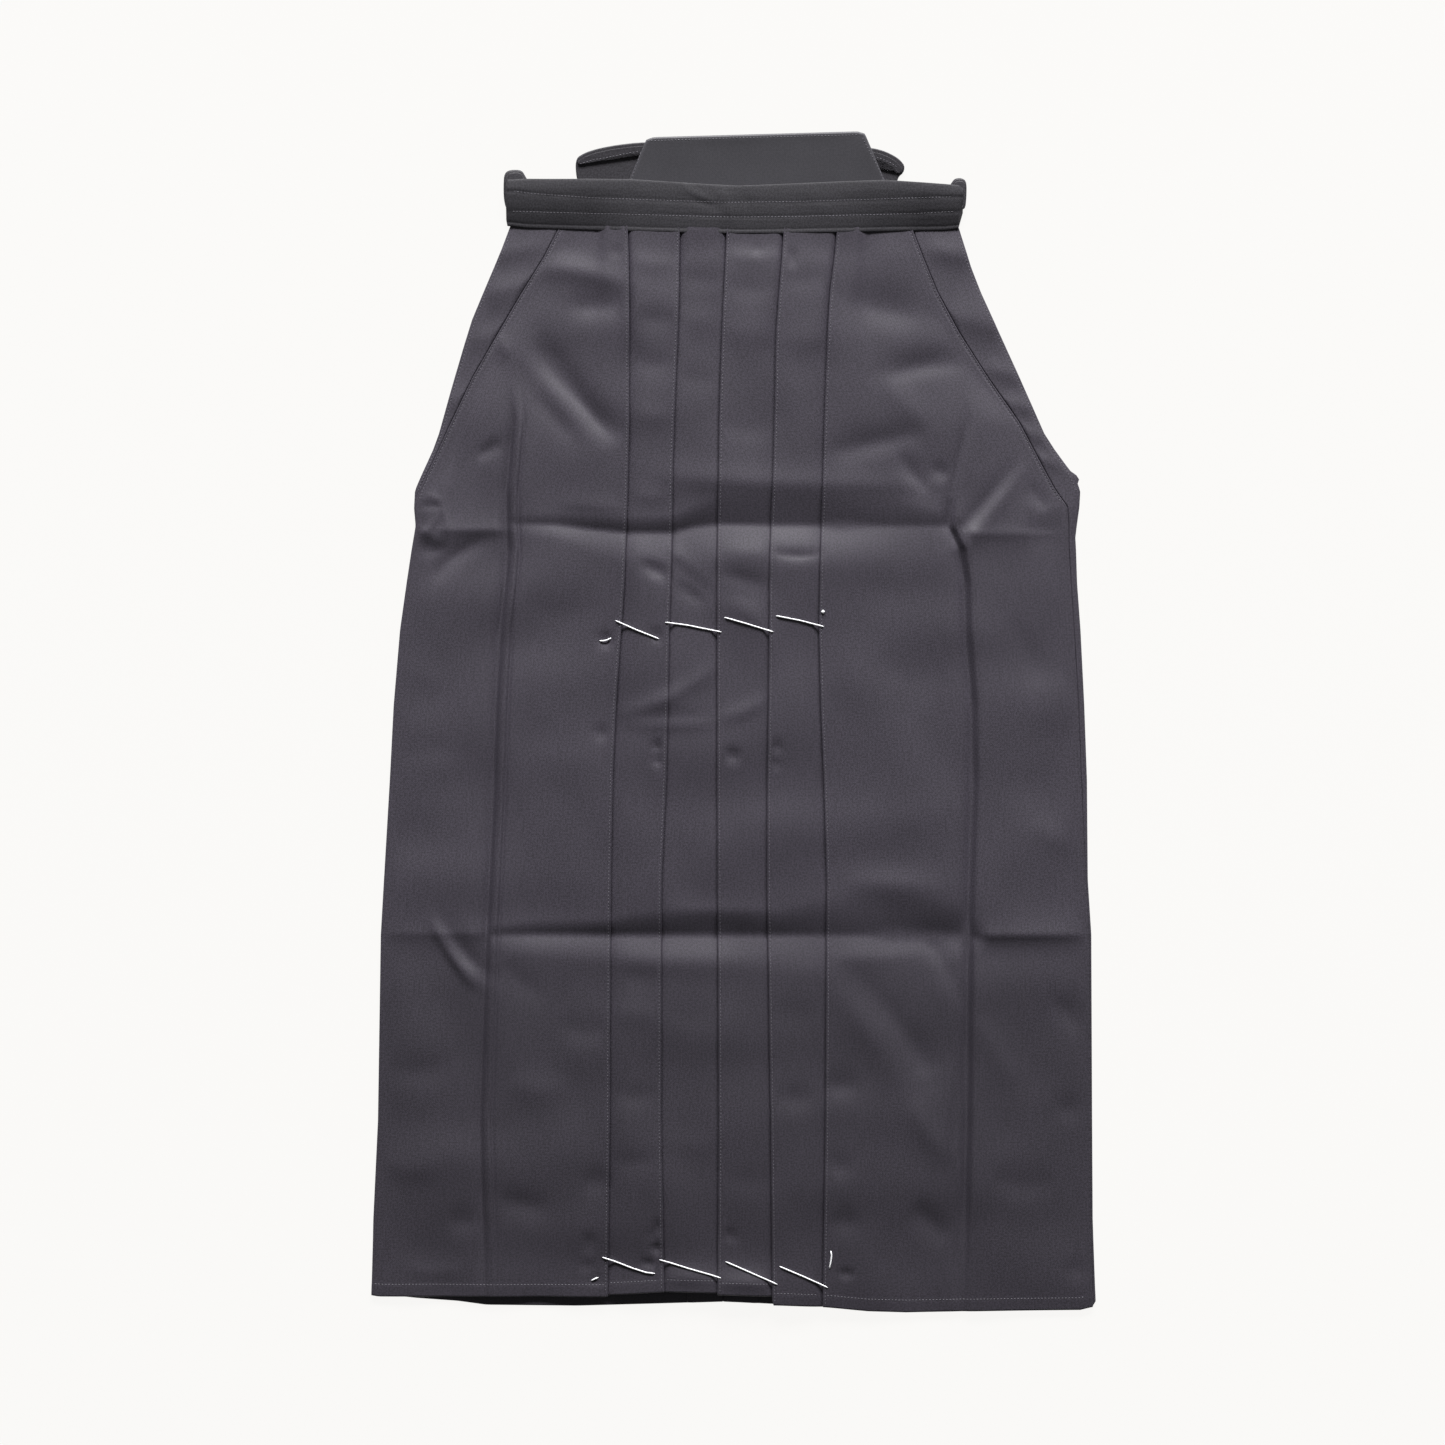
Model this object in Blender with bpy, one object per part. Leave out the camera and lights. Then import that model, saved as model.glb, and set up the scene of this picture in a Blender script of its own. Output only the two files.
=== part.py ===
"""Divided pleated trousers (hakama) lying flat with the front up, at real size.

+X is to the right of the front as seen from above, +Y runs from the hems to the waist and +Z is up.
Right and left in names are the wearer's, so the right leg is at -X.
Sizes are in millimetres, and "up" is measured from the lowest point of the hem towards the waist.
"""

import bmesh
import bpy
import numpy as np

MM = 0.001

# Cloth and the way its layers lie on each other
CLOTH = 1.0
GAP = 0.3
LAYER = CLOTH + GAP
TURN = LAYER / 2
MITRE = 0.707
RAMP = 42.0
RAMP_UP = (700.0, 930.0)
RAMP_SHARE = (1.0, 0.24)
CREASE_STEP = 12.0

# Whole garment
LENGTH = 1006.8
FRONT_TOP = 935.7
BACK_TOP = 937.7

# Pleats: how far each fold reaches back under its own strip, at the hem and at the waist
PLEAT_AT_HEM = 21.0
PLEAT_AT_WAIST = 16.0
BACK_FOLD_X = -9.0
BACK_PLEAT = 30.0

# Crotch gusset
GUSSET_WIDTH = 80.0
GUSSET_HEIGHT = 160.0
CROTCH_UP = 530.0

# Soft relief of the front: how far the cloth rises between its creases, over which length, and
# how far from the sides it starts to rise
PUFF = 4.4
PUFF_MIDDLE = 470.0
PUFF_FULL = 360.0
PUFF_NONE = 462.0
PUFF_SLOPE = 26.0

# The two long creases across the front: valleys in the middle and ridges on the outer flaps
UPPER_CREASE = 671.0
LOWER_CREASE = 322.0
CREASE_WIDTH = 26.0
CREASE_PRESS = 0.95
FLAP_BLEND = 16.0
FLAP_RIDGE = 2.4
FLAP_SLOPE = 12.0

# The two upright creases, over the length where they show
UPRIGHT_MIDDLE = 330.0
UPRIGHT_FULL = 400.0
UPRIGHT_NONE = 470.0
UPRIGHT_WIDTH = 20.0
UPRIGHT_PRESS = 0.85

# A slanting drag from the waist of the right leg: its middle, the direction across it and its reach
DRAG_MIDDLE = (-136.0, 784.0)
DRAG_ACROSS = (0.77, 0.64)
DRAG_FULL = 30.0
DRAG_NONE = 60.0
DRAG_WIDTH = 12.0
DRAG_PRESS = 0.6

# Where the front climbs over the back's folds and over the gusset
FOLDS_FULL = 60.0
FOLDS_NONE = 105.0
GUSSET_FULL = 62.0
GUSSET_LENGTH_FULL = 100.0
GUSSET_LENGTH_NONE = 170.0

# Board and bundles
BOARD_THICK = 4.5
BOARD_FOOT = 0.1
BOARD_LIFT = 7.0
BOARD_BOTTOM = 938.0
BOARD_CORNER_CUT = 0.02
BOARD_RIM_SHARES = (0.012, 0.035)
BOARD_RIM_DROP = (0.32, 0.1, 0.0)
BAND_THICK = 2.8
BAND_END_X = 196.0
BAND_END_ROUND = 4.0
BAND_END_DROP = 0.9
BAND_END_LIFT = 0.35
BAND_EDGE = 0.63
BAND_REST = 5.5
BAND_MIDDLE_X = 18.0
BAND_HIGH = 135.0
BAND_LOW = 185.0
BAND_OVER_PLEATS = 1.0
BAND_OVER_BOARD = 1.35
BOARD_STARTS = 930.0
BOARD_CLEARED = 964.0
STRAP_HEIGHT = 5.2
STRAP_UNDER_BOARD = 0.35

FRONT_COLUMNS = (
    "up", "right_side", "right_crease", "fold_1", "fold_2", "fold_3", "fold_4", "fold_5",
    "left_crease", "left_side",
)
FRONT = (
    (936.0, -144.5, -126.0, -90.8, -46.2, -5.4, 43.3, 89.0, 126.0, 148.0),
    (925.0, -149.0, -131.0, -90.6, -46.2, -5.7, 42.9, 88.5, 131.0, 152.0),
    (900.0, -162.0, -141.0, -89.7, -46.5, -6.7, 41.4, 86.2, 140.0, 161.5),
    (870.0, -180.6, -155.0, -89.3, -46.8, -8.2, 39.0, 82.4, 152.0, 173.9),
    (835.0, -201.1, -178.0, -89.3, -47.8, -9.7, 36.4, 80.3, 171.0, 192.8),
    (798.0, -222.4, -184.0, -89.3, -49.4, -11.0, 35.7, 78.8, 195.0, 216.5),
    (759.0, -241.1, -181.0, -89.3, -50.9, -12.0, 34.9, 77.5, 201.0, 243.8),
    (722.0, -258.2, -184.0, -90.1, -52.1, -12.5, 34.0, 76.5, 193.0, 263.2),
    (702.0, -268.4, -186.0, -90.6, -52.3, -12.8, 33.3, 76.0, 189.0, 274.1),
    (687.0, -272.7, -186.0, -91.0, -52.6, -13.0, 32.7, 75.6, 187.0, 284.7),
    (671.0, -271.3, -186.0, -91.6, -52.8, -13.3, 32.1, 75.1, 185.0, 285.6),
    (650.0, -274.8, -185.0, -92.4, -53.1, -13.7, 31.3, 74.3, 195.0, 286.0),
    (622.0, -279.0, -187.0, -93.3, -53.9, -13.8, 30.8, 73.7, 199.0, 287.7),
    (582.0, -284.6, -191.5, -96.1, -55.2, -13.8, 30.6, 73.0, 200.0, 290.3),
    (518.0, -290.0, -195.0, -100.6, -56.3, -13.8, 29.9, 74.5, 205.0, 294.0),
    (454.0, -293.3, -197.0, -103.4, -57.7, -13.8, 29.0, 77.1, 205.8, 296.5),
    (369.0, -298.3, -200.5, -104.9, -61.7, -13.4, 28.7, 79.6, 203.0, 300.1),
    (322.0, -301.0, -203.0, -105.2, -61.8, -13.2, 29.4, 79.3, 202.0, 303.0),
    (164.0, -303.4, -208.7, -105.9, -62.0, -12.5, 31.8, 78.5, 200.7, 304.2),
    (79.0, -307.4, -206.2, -107.0, -60.6, -13.0, 32.7, 77.3, 199.0, 304.2),
    (0.0, -309.0, -204.0, -107.8, -59.5, -13.4, 33.4, 76.3, 197.3, 306.4),
)

BACK_COLUMNS = ("up", "right_side", "left_side")
BACK = (
    (938.0, -186.5, 187.5),
    (925.0, -191.3, 192.2),
    (907.0, -198.0, 197.8),
    (892.0, -204.3, 202.5),
    (870.0, -213.6, 211.0),
    (847.0, -223.2, 221.4),
    (823.0, -230.6, 232.4),
    (795.0, -238.8, 245.1),
    (767.0, -246.7, 257.5),
    (750.0, -251.4, 265.0),
    (736.0, -256.5, 274.0),
    (723.0, -262.4, 283.5),
    (717.0, -265.2, 288.2),
    (712.5, -267.2, 295.4),
    (707.0, -269.6, 293.5),
    (701.0, -272.0, 295.8),
    (687.0, -272.7, 295.0),
    (671.0, -271.3, 292.8),
    (661.0, -271.0, 291.6),
    (650.0, -274.8, 292.2),
    (622.0, -279.0, 293.1),
    (582.0, -284.6, 296.0),
    (518.0, -290.0, 299.2),
    (454.0, -293.3, 301.5),
    (369.0, -298.3, 302.2),
    (322.0, -301.0, 305.2),
    (164.0, -303.4, 305.9),
    (79.0, -307.4, 306.4),
    (0.0, -309.0, 309.0),
)

HEM_COLUMNS = ("x", "up")
FRONT_HEM_RIGHT = (
    (-309.0, 14.5), (-303.0, 13.5), (-109.0, 13.5), (-106.0, 15.0), (-60.0, 18.0), (-13.0, 17.0),
)
FRONT_HEM_LEFT = (
    (-13.0, 15.6), (33.0, 14.2), (34.0, 6.7), (76.0, 4.9), (115.0, 1.1), (147.0, 0.0),
    (196.0, 0.9), (296.0, 2.0), (306.0, 4.5),
)
BACK_HEM = (
    (-309.0, 16.0), (-270.0, 12.0), (-236.0, 9.6), (-211.0, 6.2), (-133.0, 5.4), (-60.0, 7.4),
    (-9.0, 9.0), (5.0, 8.4), (40.0, 6.6), (120.0, 5.0), (306.0, 4.0), (309.0, 9.0),
)

FRONT_ROWS = (
    FRONT_TOP, 925, 912, 897, 870, 835, 798, 759, 722, 702, 687, 678, 671, 664, 650, 622, 582,
    550, 518, 486, 454, 410, 369, 345, 330, 322, 314, 300, 266, 215, 164, 120, 79, 50, 22, 0,
)
BACK_ROWS = (BACK_TOP,) + tuple(row[0] for row in BACK[1:])
HEM_BLEND = 60.0

BAND_COLUMNS = ("x", "bottom", "top")
BAND = (
    (-194.2, 932.0, 961.0),
    (-193.2, 927.0, 965.6),
    (-176.0, 925.0, 966.6),
    (-133.0, 923.4, 966.3),
    (-88.5, 922.0, 965.9),
    (-50.0, 920.9, 963.4),
    (-22.0, 920.2, 961.6),
    (5.0, 919.8, 960.3),
    (33.0, 919.9, 961.4),
    (89.0, 920.9, 963.8),
    (130.0, 922.0, 965.3),
    (180.0, 923.2, 962.0),
    (191.8, 924.6, 961.0),
    (195.6, 938.0, 958.0),
)
# The band's cross-section: share of its width, and how far its top face is raised there
BAND_PROFILE_COLUMNS = ("share", "raised")
BAND_PROFILE = (
    (0.0, -1.4), (0.025, 0.1), (0.06, 0.3), (0.095, -0.25), (0.14, 0.0), (0.45, 0.15),
    (0.8, 0.1), (0.965, -0.1), (1.0, -1.4),
)

BOARD_CORNERS = {
    "bottom_right": (-101.5, BOARD_BOTTOM),
    "bottom_left": (141.0, BOARD_BOTTOM),
    "top_right": (-73.1, 1001.7),
    "top_left": (110.6, LENGTH),
}

# Outlines of the folded straps, as corners that round_corners cuts
BACK_STRAP_RIGHT = (
    (-136.0, 984.2), (-126.6, 990.0), (-114.6, 993.6), (-99.3, 996.4), (-79.9, 998.6),
    (-40.0, 999.4), (10.0, 996.0), (13.0, 968.0), (-10.0, 958.0), (-132.8, 957.0),
)
BACK_STRAP_LEFT = (
    (17.0, 968.0), (18.0, 993.0), (60.0, 996.6), (115.0, 994.4), (128.0, 991.6),
    (140.0, 985.6), (146.3, 978.8), (145.2, 972.6), (140.0, 968.6), (138.9, 957.5),
    (40.0, 957.5),
)
FRONT_STRAP_RIGHT = (
    (-196.4, 950.0), (-196.6, 962.0), (-196.0, 971.6), (-192.0, 975.0), (-181.0, 975.2),
    (-177.6, 969.0), (-173.0, 961.5), (-152.0, 960.5), (-149.0, 940.0), (-193.6, 938.6),
)
FRONT_STRAP_LEFT = (
    (154.0, 940.0), (156.0, 958.0), (180.0, 957.6), (184.6, 961.6), (188.4, 967.8),
    (194.6, 968.2), (199.0, 965.4), (198.8, 950.0), (197.2, 938.8),
)
CORNER_CUT = 0.16
# A folded strap's side: share of its height and how far the outline is drawn in there
STRAP_RING_COLUMNS = ("height", "inset")
STRAP_RINGS = (
    (0.0, 0.9), (0.05, 0.1), (0.22, 0.0), (0.33, 0.9), (0.37, 0.9), (0.47, 0.5), (0.58, 0.6),
    (0.67, 1.7), (0.71, 1.7), (0.80, 1.3), (0.93, 1.5), (1.0, 2.4),
)

COLOURS = {
    "cloth": (0.068, 0.062, 0.078, 1.0),
    "band": (0.064, 0.061, 0.072, 1.0),
    "board": (0.062, 0.061, 0.067, 1.0),
    "strap": (0.066, 0.062, 0.070, 1.0),
}
ROUGHNESS = 0.75
SHARP_ANGLE = np.radians(40.0)


def column(table, columns, name, where, key="up"):
    """The named column of a table, read at one or many places along its key column."""
    rows = np.array(table, dtype=float)
    keys = rows[:, columns.index(key)]
    order = np.argsort(keys)
    return np.interp(where, keys[order], rows[order, columns.index(name)])


def front(name, up):
    return column(FRONT, FRONT_COLUMNS, name, up)


def back(name, up):
    return column(BACK, BACK_COLUMNS, name, up)


def hem(table, x):
    return column(table, HEM_COLUMNS, "up", x, key="x")


def plateau(distance, inner, outer):
    """1 within the inner distance, 0 beyond the outer one, and a soft step between them."""
    share = np.clip((outer - np.abs(distance)) / (outer - inner), 0.0, 1.0)
    return share * share * (3.0 - 2.0 * share)


def relief(x, up):
    """Rise of the front over its flat layers: a soft puff that storage creases press down.

    The two long creases across the middle are valleys there and ridges on the outer flaps, where
    the garment was folded over, and the two upright creases are valleys.
    """
    right_crease = front("right_crease", up)
    left_crease = front("left_crease", up)
    side_room = np.minimum(x - front("right_side", up), front("left_side", up) - x)
    side_room = np.maximum(side_room, 0.0)
    puff = PUFF * (1.0 - np.exp(-side_room / PUFF_SLOPE))
    puff = puff * plateau(up - PUFF_MIDDLE, PUFF_FULL, PUFF_NONE)
    inside = np.minimum(x - right_crease, left_crease - x)
    middle = np.clip(inside / FLAP_BLEND + 1.0, 0.0, 1.0)
    ridges = 0.0
    for crease in (UPPER_CREASE, LOWER_CREASE):
        near = np.exp(-np.abs(up - crease) / CREASE_WIDTH)
        puff = puff * (1.0 - CREASE_PRESS * middle * near)
        ridges = ridges + FLAP_RIDGE * (1.0 - middle) * near
    upright = UPRIGHT_PRESS * plateau(up - UPRIGHT_MIDDLE, UPRIGHT_FULL, UPRIGHT_NONE)
    for crease_x in (right_crease, left_crease):
        puff = puff * (1.0 - upright * np.exp(-np.abs(x - crease_x) / UPRIGHT_WIDTH))
    beside = x - DRAG_MIDDLE[0]
    beyond = up - DRAG_MIDDLE[1]
    across = np.abs(beside * DRAG_ACROSS[0] + beyond * DRAG_ACROSS[1])
    drag = DRAG_PRESS * plateau(np.hypot(beside, beyond), DRAG_FULL, DRAG_NONE)
    puff = puff * (1.0 - drag * np.exp(-across / DRAG_WIDTH))
    return puff + ridges * (1.0 - np.exp(-side_room / FLAP_SLOPE))


def ground(x, up):
    """Height of the middle of the front's lowest layer: over the back, its folds and the gusset."""
    beside = x - BACK_FOLD_X
    over_folds = LAYER * plateau(beside, FOLDS_FULL, FOLDS_NONE)
    near_crotch = plateau(up - CROTCH_UP, GUSSET_LENGTH_FULL, GUSSET_LENGTH_NONE)
    over_gusset = LAYER * plateau(beside, GUSSET_FULL, FOLDS_NONE) * near_crotch
    return CLOTH / 2 + LAYER + over_folds + over_gusset + relief(x, up)


def fold_over(edge, facing, depth):
    """Section of one pleat from its top strip, round the edge and back under: (x, layer) pairs.

    facing is +1 where the edge looks towards +X. The cloth comes in on layer 2, turns at the
    edge, goes back on layer 1, turns again and leaves under the edge on layer 0.
    """
    back_edge = edge - facing * depth
    middle = edge - facing * depth / 2
    near_edge = edge - facing * TURN
    near_back = back_edge + facing * TURN
    return [
        (back_edge, 2.0), (middle, 2.0), (near_edge, 2.0), (edge, 1.5), (near_edge, 1.0),
        (middle, 1.0), (near_back, 1.0), (back_edge, 0.5), (near_back, 0.0), (middle, 0.0),
        (edge, 0.0),
    ]


def plain_panel(side, crease, ramp_end):
    """Section of the flat side panel, with closer points at its upright crease."""
    outer_step = np.clip(CREASE_STEP / abs(crease - side), 0.1, 0.3) * (side - crease)
    inner_step = np.clip(CREASE_STEP / abs(ramp_end - crease), 0.1, 0.3) * (ramp_end - crease)
    xs = [
        side, side + (crease - side) * 0.33, side + (crease - side) * 0.66,
        crease + outer_step, crease, crease + inner_step,
        crease + (ramp_end - crease) * 0.6, ramp_end,
    ]
    return [(x, 0.0) for x in xs]


def pleat_depth(up):
    return PLEAT_AT_HEM + (PLEAT_AT_WAIST - PLEAT_AT_HEM) * up / LENGTH


def right_front_section(up):
    depth = pleat_depth(up)
    fold_1, fold_2, fold_3 = (float(front(f"fold_{k}", up)) for k in (1, 2, 3))
    panel_end = fold_1 - depth - ramp_room(up)
    section = plain_panel(float(front("right_side", up)), float(front("right_crease", up)), panel_end)
    section += fold_over(fold_1, 1, depth)
    section += fold_over(fold_2, 1, depth)
    section.append(((fold_2 + fold_3) / 2, 0.0))
    section += [(fold_3, 0.0), (fold_3 + depth / 2, 0.0), (fold_3 + depth, 0.0)]
    return section


def left_front_section(up):
    depth = pleat_depth(up)
    fold_3, fold_4, fold_5 = (float(front(f"fold_{k}", up)) for k in (3, 4, 5))
    panel_end = fold_5 + depth + ramp_room(up)
    section = plain_panel(float(front("left_side", up)), float(front("left_crease", up)), panel_end)
    section += fold_over(fold_5, -1, depth)
    section += fold_over(fold_4, -1, depth)
    section += fold_over(fold_3, -1, depth)[:6]
    section.append((fold_3 + depth, 1.0))
    return section


def ramp_room(up):
    """Length of the slope beside the outer pleats, shorter at the narrow waist."""
    return RAMP * np.interp(up, RAMP_UP, RAMP_SHARE)


def hem_blended(up, edge):
    """Rows near the hem close up towards the hem's own line."""
    share = np.clip(up / HEM_BLEND, 0.0, 1.0)
    return np.where(up < HEM_BLEND, edge + share * (HEM_BLEND - edge), up)


def front_middle(section_of, hem_table):
    """Middle surface of a front: one section of folded cloth for each row."""
    sections = np.array([section_of(float(up)) for up in FRONT_ROWS])
    x = sections[:, :, 0]
    layer = sections[:, :, 1]
    up = hem_blended(np.array(FRONT_ROWS, dtype=float)[:, None], hem(hem_table, x))
    z = ground(x, up) + LAYER * layer
    return x, up, z


def back_middle(side_name, toward):
    """Middle surface of a back: the panel on the floor, its centre fold and the turned-in cloth."""
    rows = np.array(BACK_ROWS, dtype=float)[:, None]
    side = back(side_name, rows)
    edge = BACK_FOLD_X - toward * (GAP / 2 + CLOTH * MITRE)
    near_edge = edge - toward * TURN
    x = np.concatenate(
        [
            side + (near_edge - side) * np.array([[0.0, 0.3, 0.6, 0.85, 1.0]]),
            np.full_like(side, edge),
            np.full_like(side, near_edge),
            np.full_like(side, edge - toward * BACK_PLEAT / 2),
            np.full_like(side, edge - toward * BACK_PLEAT),
        ],
        axis=1,
    )
    layer = np.array([[0.0, 0.0, 0.0, 0.0, 0.0, 0.5, 1.0, 1.0, 1.0]])
    up = hem_blended(rows, hem(BACK_HEM, x))
    z = CLOTH / 2 + LAYER * np.broadcast_to(layer, x.shape)
    return x, up, z


def wall_faces(x, y, z, thickness):
    """The two faces of a wall: its middle moved both ways along mitred normals of each section."""
    steps = np.stack([np.diff(x, axis=1), np.diff(z, axis=1)], axis=-1)
    steps /= np.linalg.norm(steps, axis=-1, keepdims=True)
    normals = np.stack([-steps[..., 1], steps[..., 0]], axis=-1)
    before = np.concatenate([normals[:, :1], normals], axis=1)
    after = np.concatenate([normals, normals[:, -1:]], axis=1)
    mitre = before + after
    mitre /= 1.0 + np.sum(before * after, axis=-1, keepdims=True)
    offset = mitre * thickness / 2
    upper = np.stack([x + offset[..., 0], y, z + offset[..., 1]], axis=-1)
    lower = np.stack([x - offset[..., 0], y, z - offset[..., 1]], axis=-1)
    return upper, lower


def grid_triangles(first, rows, cols, rightward):
    """Triangles of a grid of points, with every diagonal running the same way in plan."""
    triangles = []
    for row in range(rows - 1):
        for col in range(cols - 1):
            a = first + row * cols + col
            b = a + 1
            c = a + cols + 1
            d = a + cols
            if rightward[row, col]:
                triangles += [(a, b, c), (a, c, d)]
            else:
                triangles += [(a, b, d), (b, c, d)]
    return triangles


def rim_triangles(ring_a, ring_b):
    triangles = []
    for k, start in enumerate(ring_a):
        k_next = (k + 1) % len(ring_a)
        triangles.append((start, ring_a[k_next], ring_b[k_next]))
        triangles.append((start, ring_b[k_next], ring_b[k]))
    return triangles


def border(rows, cols):
    """Indices round the edge of a grid, in order."""
    top = [col for col in range(cols)]
    right = [row * cols + cols - 1 for row in range(1, rows)]
    bottom = [(rows - 1) * cols + col for col in range(cols - 2, -1, -1)]
    left = [row * cols for row in range(rows - 2, 0, -1)]
    return top + right + bottom + left


def make_material(name, colour, roughness):
    material = bpy.data.materials.new(name)
    material.use_nodes = True
    shader = material.node_tree.nodes["Principled BSDF"]
    shader.inputs["Base Color"].default_value = colour
    shader.inputs["Roughness"].default_value = roughness
    shader.inputs["Metallic"].default_value = 0.0
    return material


def add_solid(name, points, triangles, colour):
    """A closed mesh from points in millimetres, with its faces turned outwards."""
    placed = (np.asarray(points) - np.array([0.0, LENGTH / 2, 0.0])) * MM
    mesh = bpy.data.meshes.new(name)
    mesh.from_pydata([tuple(point) for point in placed], [], triangles)
    shape = bmesh.new()
    shape.from_mesh(mesh)
    bmesh.ops.recalc_face_normals(shape, faces=shape.faces)
    shape.to_mesh(mesh)
    shape.free()
    mesh.materials.append(make_material(name + "_cloth", colour, ROUGHNESS))
    body = bpy.data.objects.new(name, mesh)
    bpy.context.scene.collection.objects.link(body)
    mesh.shade_smooth()
    mesh.set_sharp_from_angle(angle=SHARP_ANGLE)
    return body


def add_shell(name, upper, lower, colour):
    """A closed wall between two grids of points."""
    rows, cols = upper.shape[:2]
    rightward = np.diff(upper[..., 0], axis=1) > 0.0
    count = rows * cols
    triangles = grid_triangles(0, rows, cols, rightward)
    triangles += grid_triangles(count, rows, cols, rightward)
    edge = border(rows, cols)
    triangles += rim_triangles(edge, [index + count for index in edge])
    points = np.concatenate([upper.reshape(-1, 3), lower.reshape(-1, 3)])
    return add_solid(name, points, triangles, colour)


def add_folded_cloth(name, middle, colour):
    upper, lower = wall_faces(*middle, CLOTH)
    return add_shell(name, upper, lower, colour)


def add_gusset():
    """A flat diamond over the back's folds, where the two legs part."""
    half_width = GUSSET_WIDTH / 2
    half_height = GUSSET_HEIGHT / 2
    share = np.array([-0.97, -0.5, 0.0, 0.5, 0.97])[:, None]
    across = np.array([[-1.0, -0.33, 0.33, 1.0]])
    x = BACK_FOLD_X + across * half_width * (1.0 - np.abs(share))
    y = CROTCH_UP + share * half_height * np.ones_like(across)
    z = np.full_like(x, CLOTH / 2 + 2 * LAYER)
    upper, lower = wall_faces(x, y, z, CLOTH)
    return add_shell("crotch_gusset", upper, lower, COLOURS["cloth"])


def board_underside(up):
    """The board leans: its lower edge is on the floor and its upper edge lies on the straps."""
    return BOARD_FOOT + BOARD_LIFT * (up - BOARD_BOTTOM) / (LENGTH - BOARD_BOTTOM)


def add_board():
    """A stiff trapezoid with softened edges and blunt corners."""
    shares = np.array([0.0, *BOARD_RIM_SHARES, 0.3, 0.7, *(1.0 - np.array(BOARD_RIM_SHARES[::-1])), 1.0])
    across, along = np.meshgrid(shares, shares)
    corners = {name: np.array(place) for name, place in BOARD_CORNERS.items()}
    low = corners["bottom_right"] * (1 - across[..., None]) + corners["bottom_left"] * across[..., None]
    high = corners["top_right"] * (1 - across[..., None]) + corners["top_left"] * across[..., None]
    place = low * (1 - along[..., None]) + high * along[..., None]
    from_side = np.minimum(across, 1 - across)
    from_end = np.minimum(along, 1 - along)
    rim = np.minimum(from_side, from_end)
    softness = np.interp(rim, (0.0, *BOARD_RIM_SHARES), BOARD_RIM_DROP) * BOARD_THICK
    corner = (from_side + from_end) < BOARD_RIM_SHARES[0] / 2
    middle = place.mean(axis=(0, 1))
    place = middle + (place - middle) * (1.0 - BOARD_CORNER_CUT * corner[..., None])
    under = board_underside(place[..., 1])
    upper = np.dstack([place, under + BOARD_THICK - softness])
    lower = np.dstack([place, under + softness])
    return add_shell("back_board", upper, lower, COLOURS["board"])


def band_underside(x, up):
    """Low at the ends over the straps, and higher over the pleats and the board."""
    middle = plateau(x - BAND_MIDDLE_X, BAND_HIGH, BAND_LOW)
    over_board = np.clip((up - BOARD_STARTS) / (BOARD_CLEARED - BOARD_STARTS), 0.0, 1.0)
    return BAND_REST + middle * (BAND_OVER_PLEATS + BAND_OVER_BOARD * over_board)


def add_waistband():
    """A folded band: a flat strip with a raised lip along its lower edge."""
    table = np.array(BAND)
    steps = np.linspace(0, len(BAND) - 1, 2 * len(BAND) - 1)
    index = np.arange(len(BAND))
    x, bottom, top = (np.interp(steps, index, table[:, k]) for k in range(3))
    share, raised = np.array(BAND_PROFILE).T
    up = bottom[None, :] + share[:, None] * (top - bottom)[None, :]
    x = np.broadcast_to(x[None, :], up.shape)
    under = band_underside(x, up)
    end = np.interp(BAND_END_X - np.abs(x), (0.0, BAND_END_ROUND), (1.0, 0.0))
    rim = np.isin(share, (0.0, 1.0))[:, None]
    upper = np.dstack([x, up, under + BAND_THICK + raised[:, None] - BAND_END_DROP * end])
    lower = np.dstack([x, up, under + np.maximum(BAND_EDGE * rim, BAND_END_LIFT * end)])
    return add_shell("front_waistband", upper, lower, COLOURS["band"])


def inset_outline(outline, distance):
    """The outline drawn in along the mitred normals of its corners."""
    ahead = np.roll(outline, -1, axis=0) - outline
    ahead /= np.linalg.norm(ahead, axis=1, keepdims=True)
    inward = np.stack([ahead[:, 1], -ahead[:, 0]], axis=1)
    before = np.roll(inward, 1, axis=0)
    mitre = (before + inward) / (1.0 + np.sum(before * inward, axis=1, keepdims=True))
    return outline + mitre * distance


def round_corners(outline):
    """Each corner replaced by two points, a share of the way along both of its sides."""
    nearer = outline + (np.roll(outline, -1, axis=0) - outline) * CORNER_CUT
    farther = outline + (np.roll(outline, 1, axis=0) - outline) * CORNER_CUT
    return np.stack([farther, nearer], axis=1).reshape(-1, 2)


def add_strap(name, outline, height_at):
    """A strap folded on itself three times: stacked rounded layers in one closed solid."""
    outline = np.array(outline)
    turn = np.roll(outline, -1, axis=0)
    area = np.sum(outline[:, 0] * turn[:, 1] - turn[:, 0] * outline[:, 1])
    if area > 0:
        outline = outline[::-1]
    outline = round_corners(outline)
    rings = []
    for height, inset in STRAP_RINGS:
        place = inset_outline(outline, inset)
        rings.append(np.column_stack([place, height * height_at(place[:, 0], place[:, 1])]))
    count = len(outline)
    points = np.concatenate(rings)
    triangles = []
    for k in range(len(rings) - 1):
        first = list(range(k * count, (k + 1) * count))
        triangles += rim_triangles(first, [index + count for index in first])
    for k in (0, len(rings) - 1):
        triangles.append(tuple(range(k * count, (k + 1) * count)))
    return add_solid(name, points, triangles, COLOURS["strap"])


def under_board(x, up):
    return board_underside(up) - STRAP_UNDER_BOARD * np.ones_like(x)


def under_band(x, up):
    return np.full_like(x, STRAP_HEIGHT)


def clear_scene():
    for item in list(bpy.data.objects):
        bpy.data.objects.remove(item, do_unlink=True)


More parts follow.
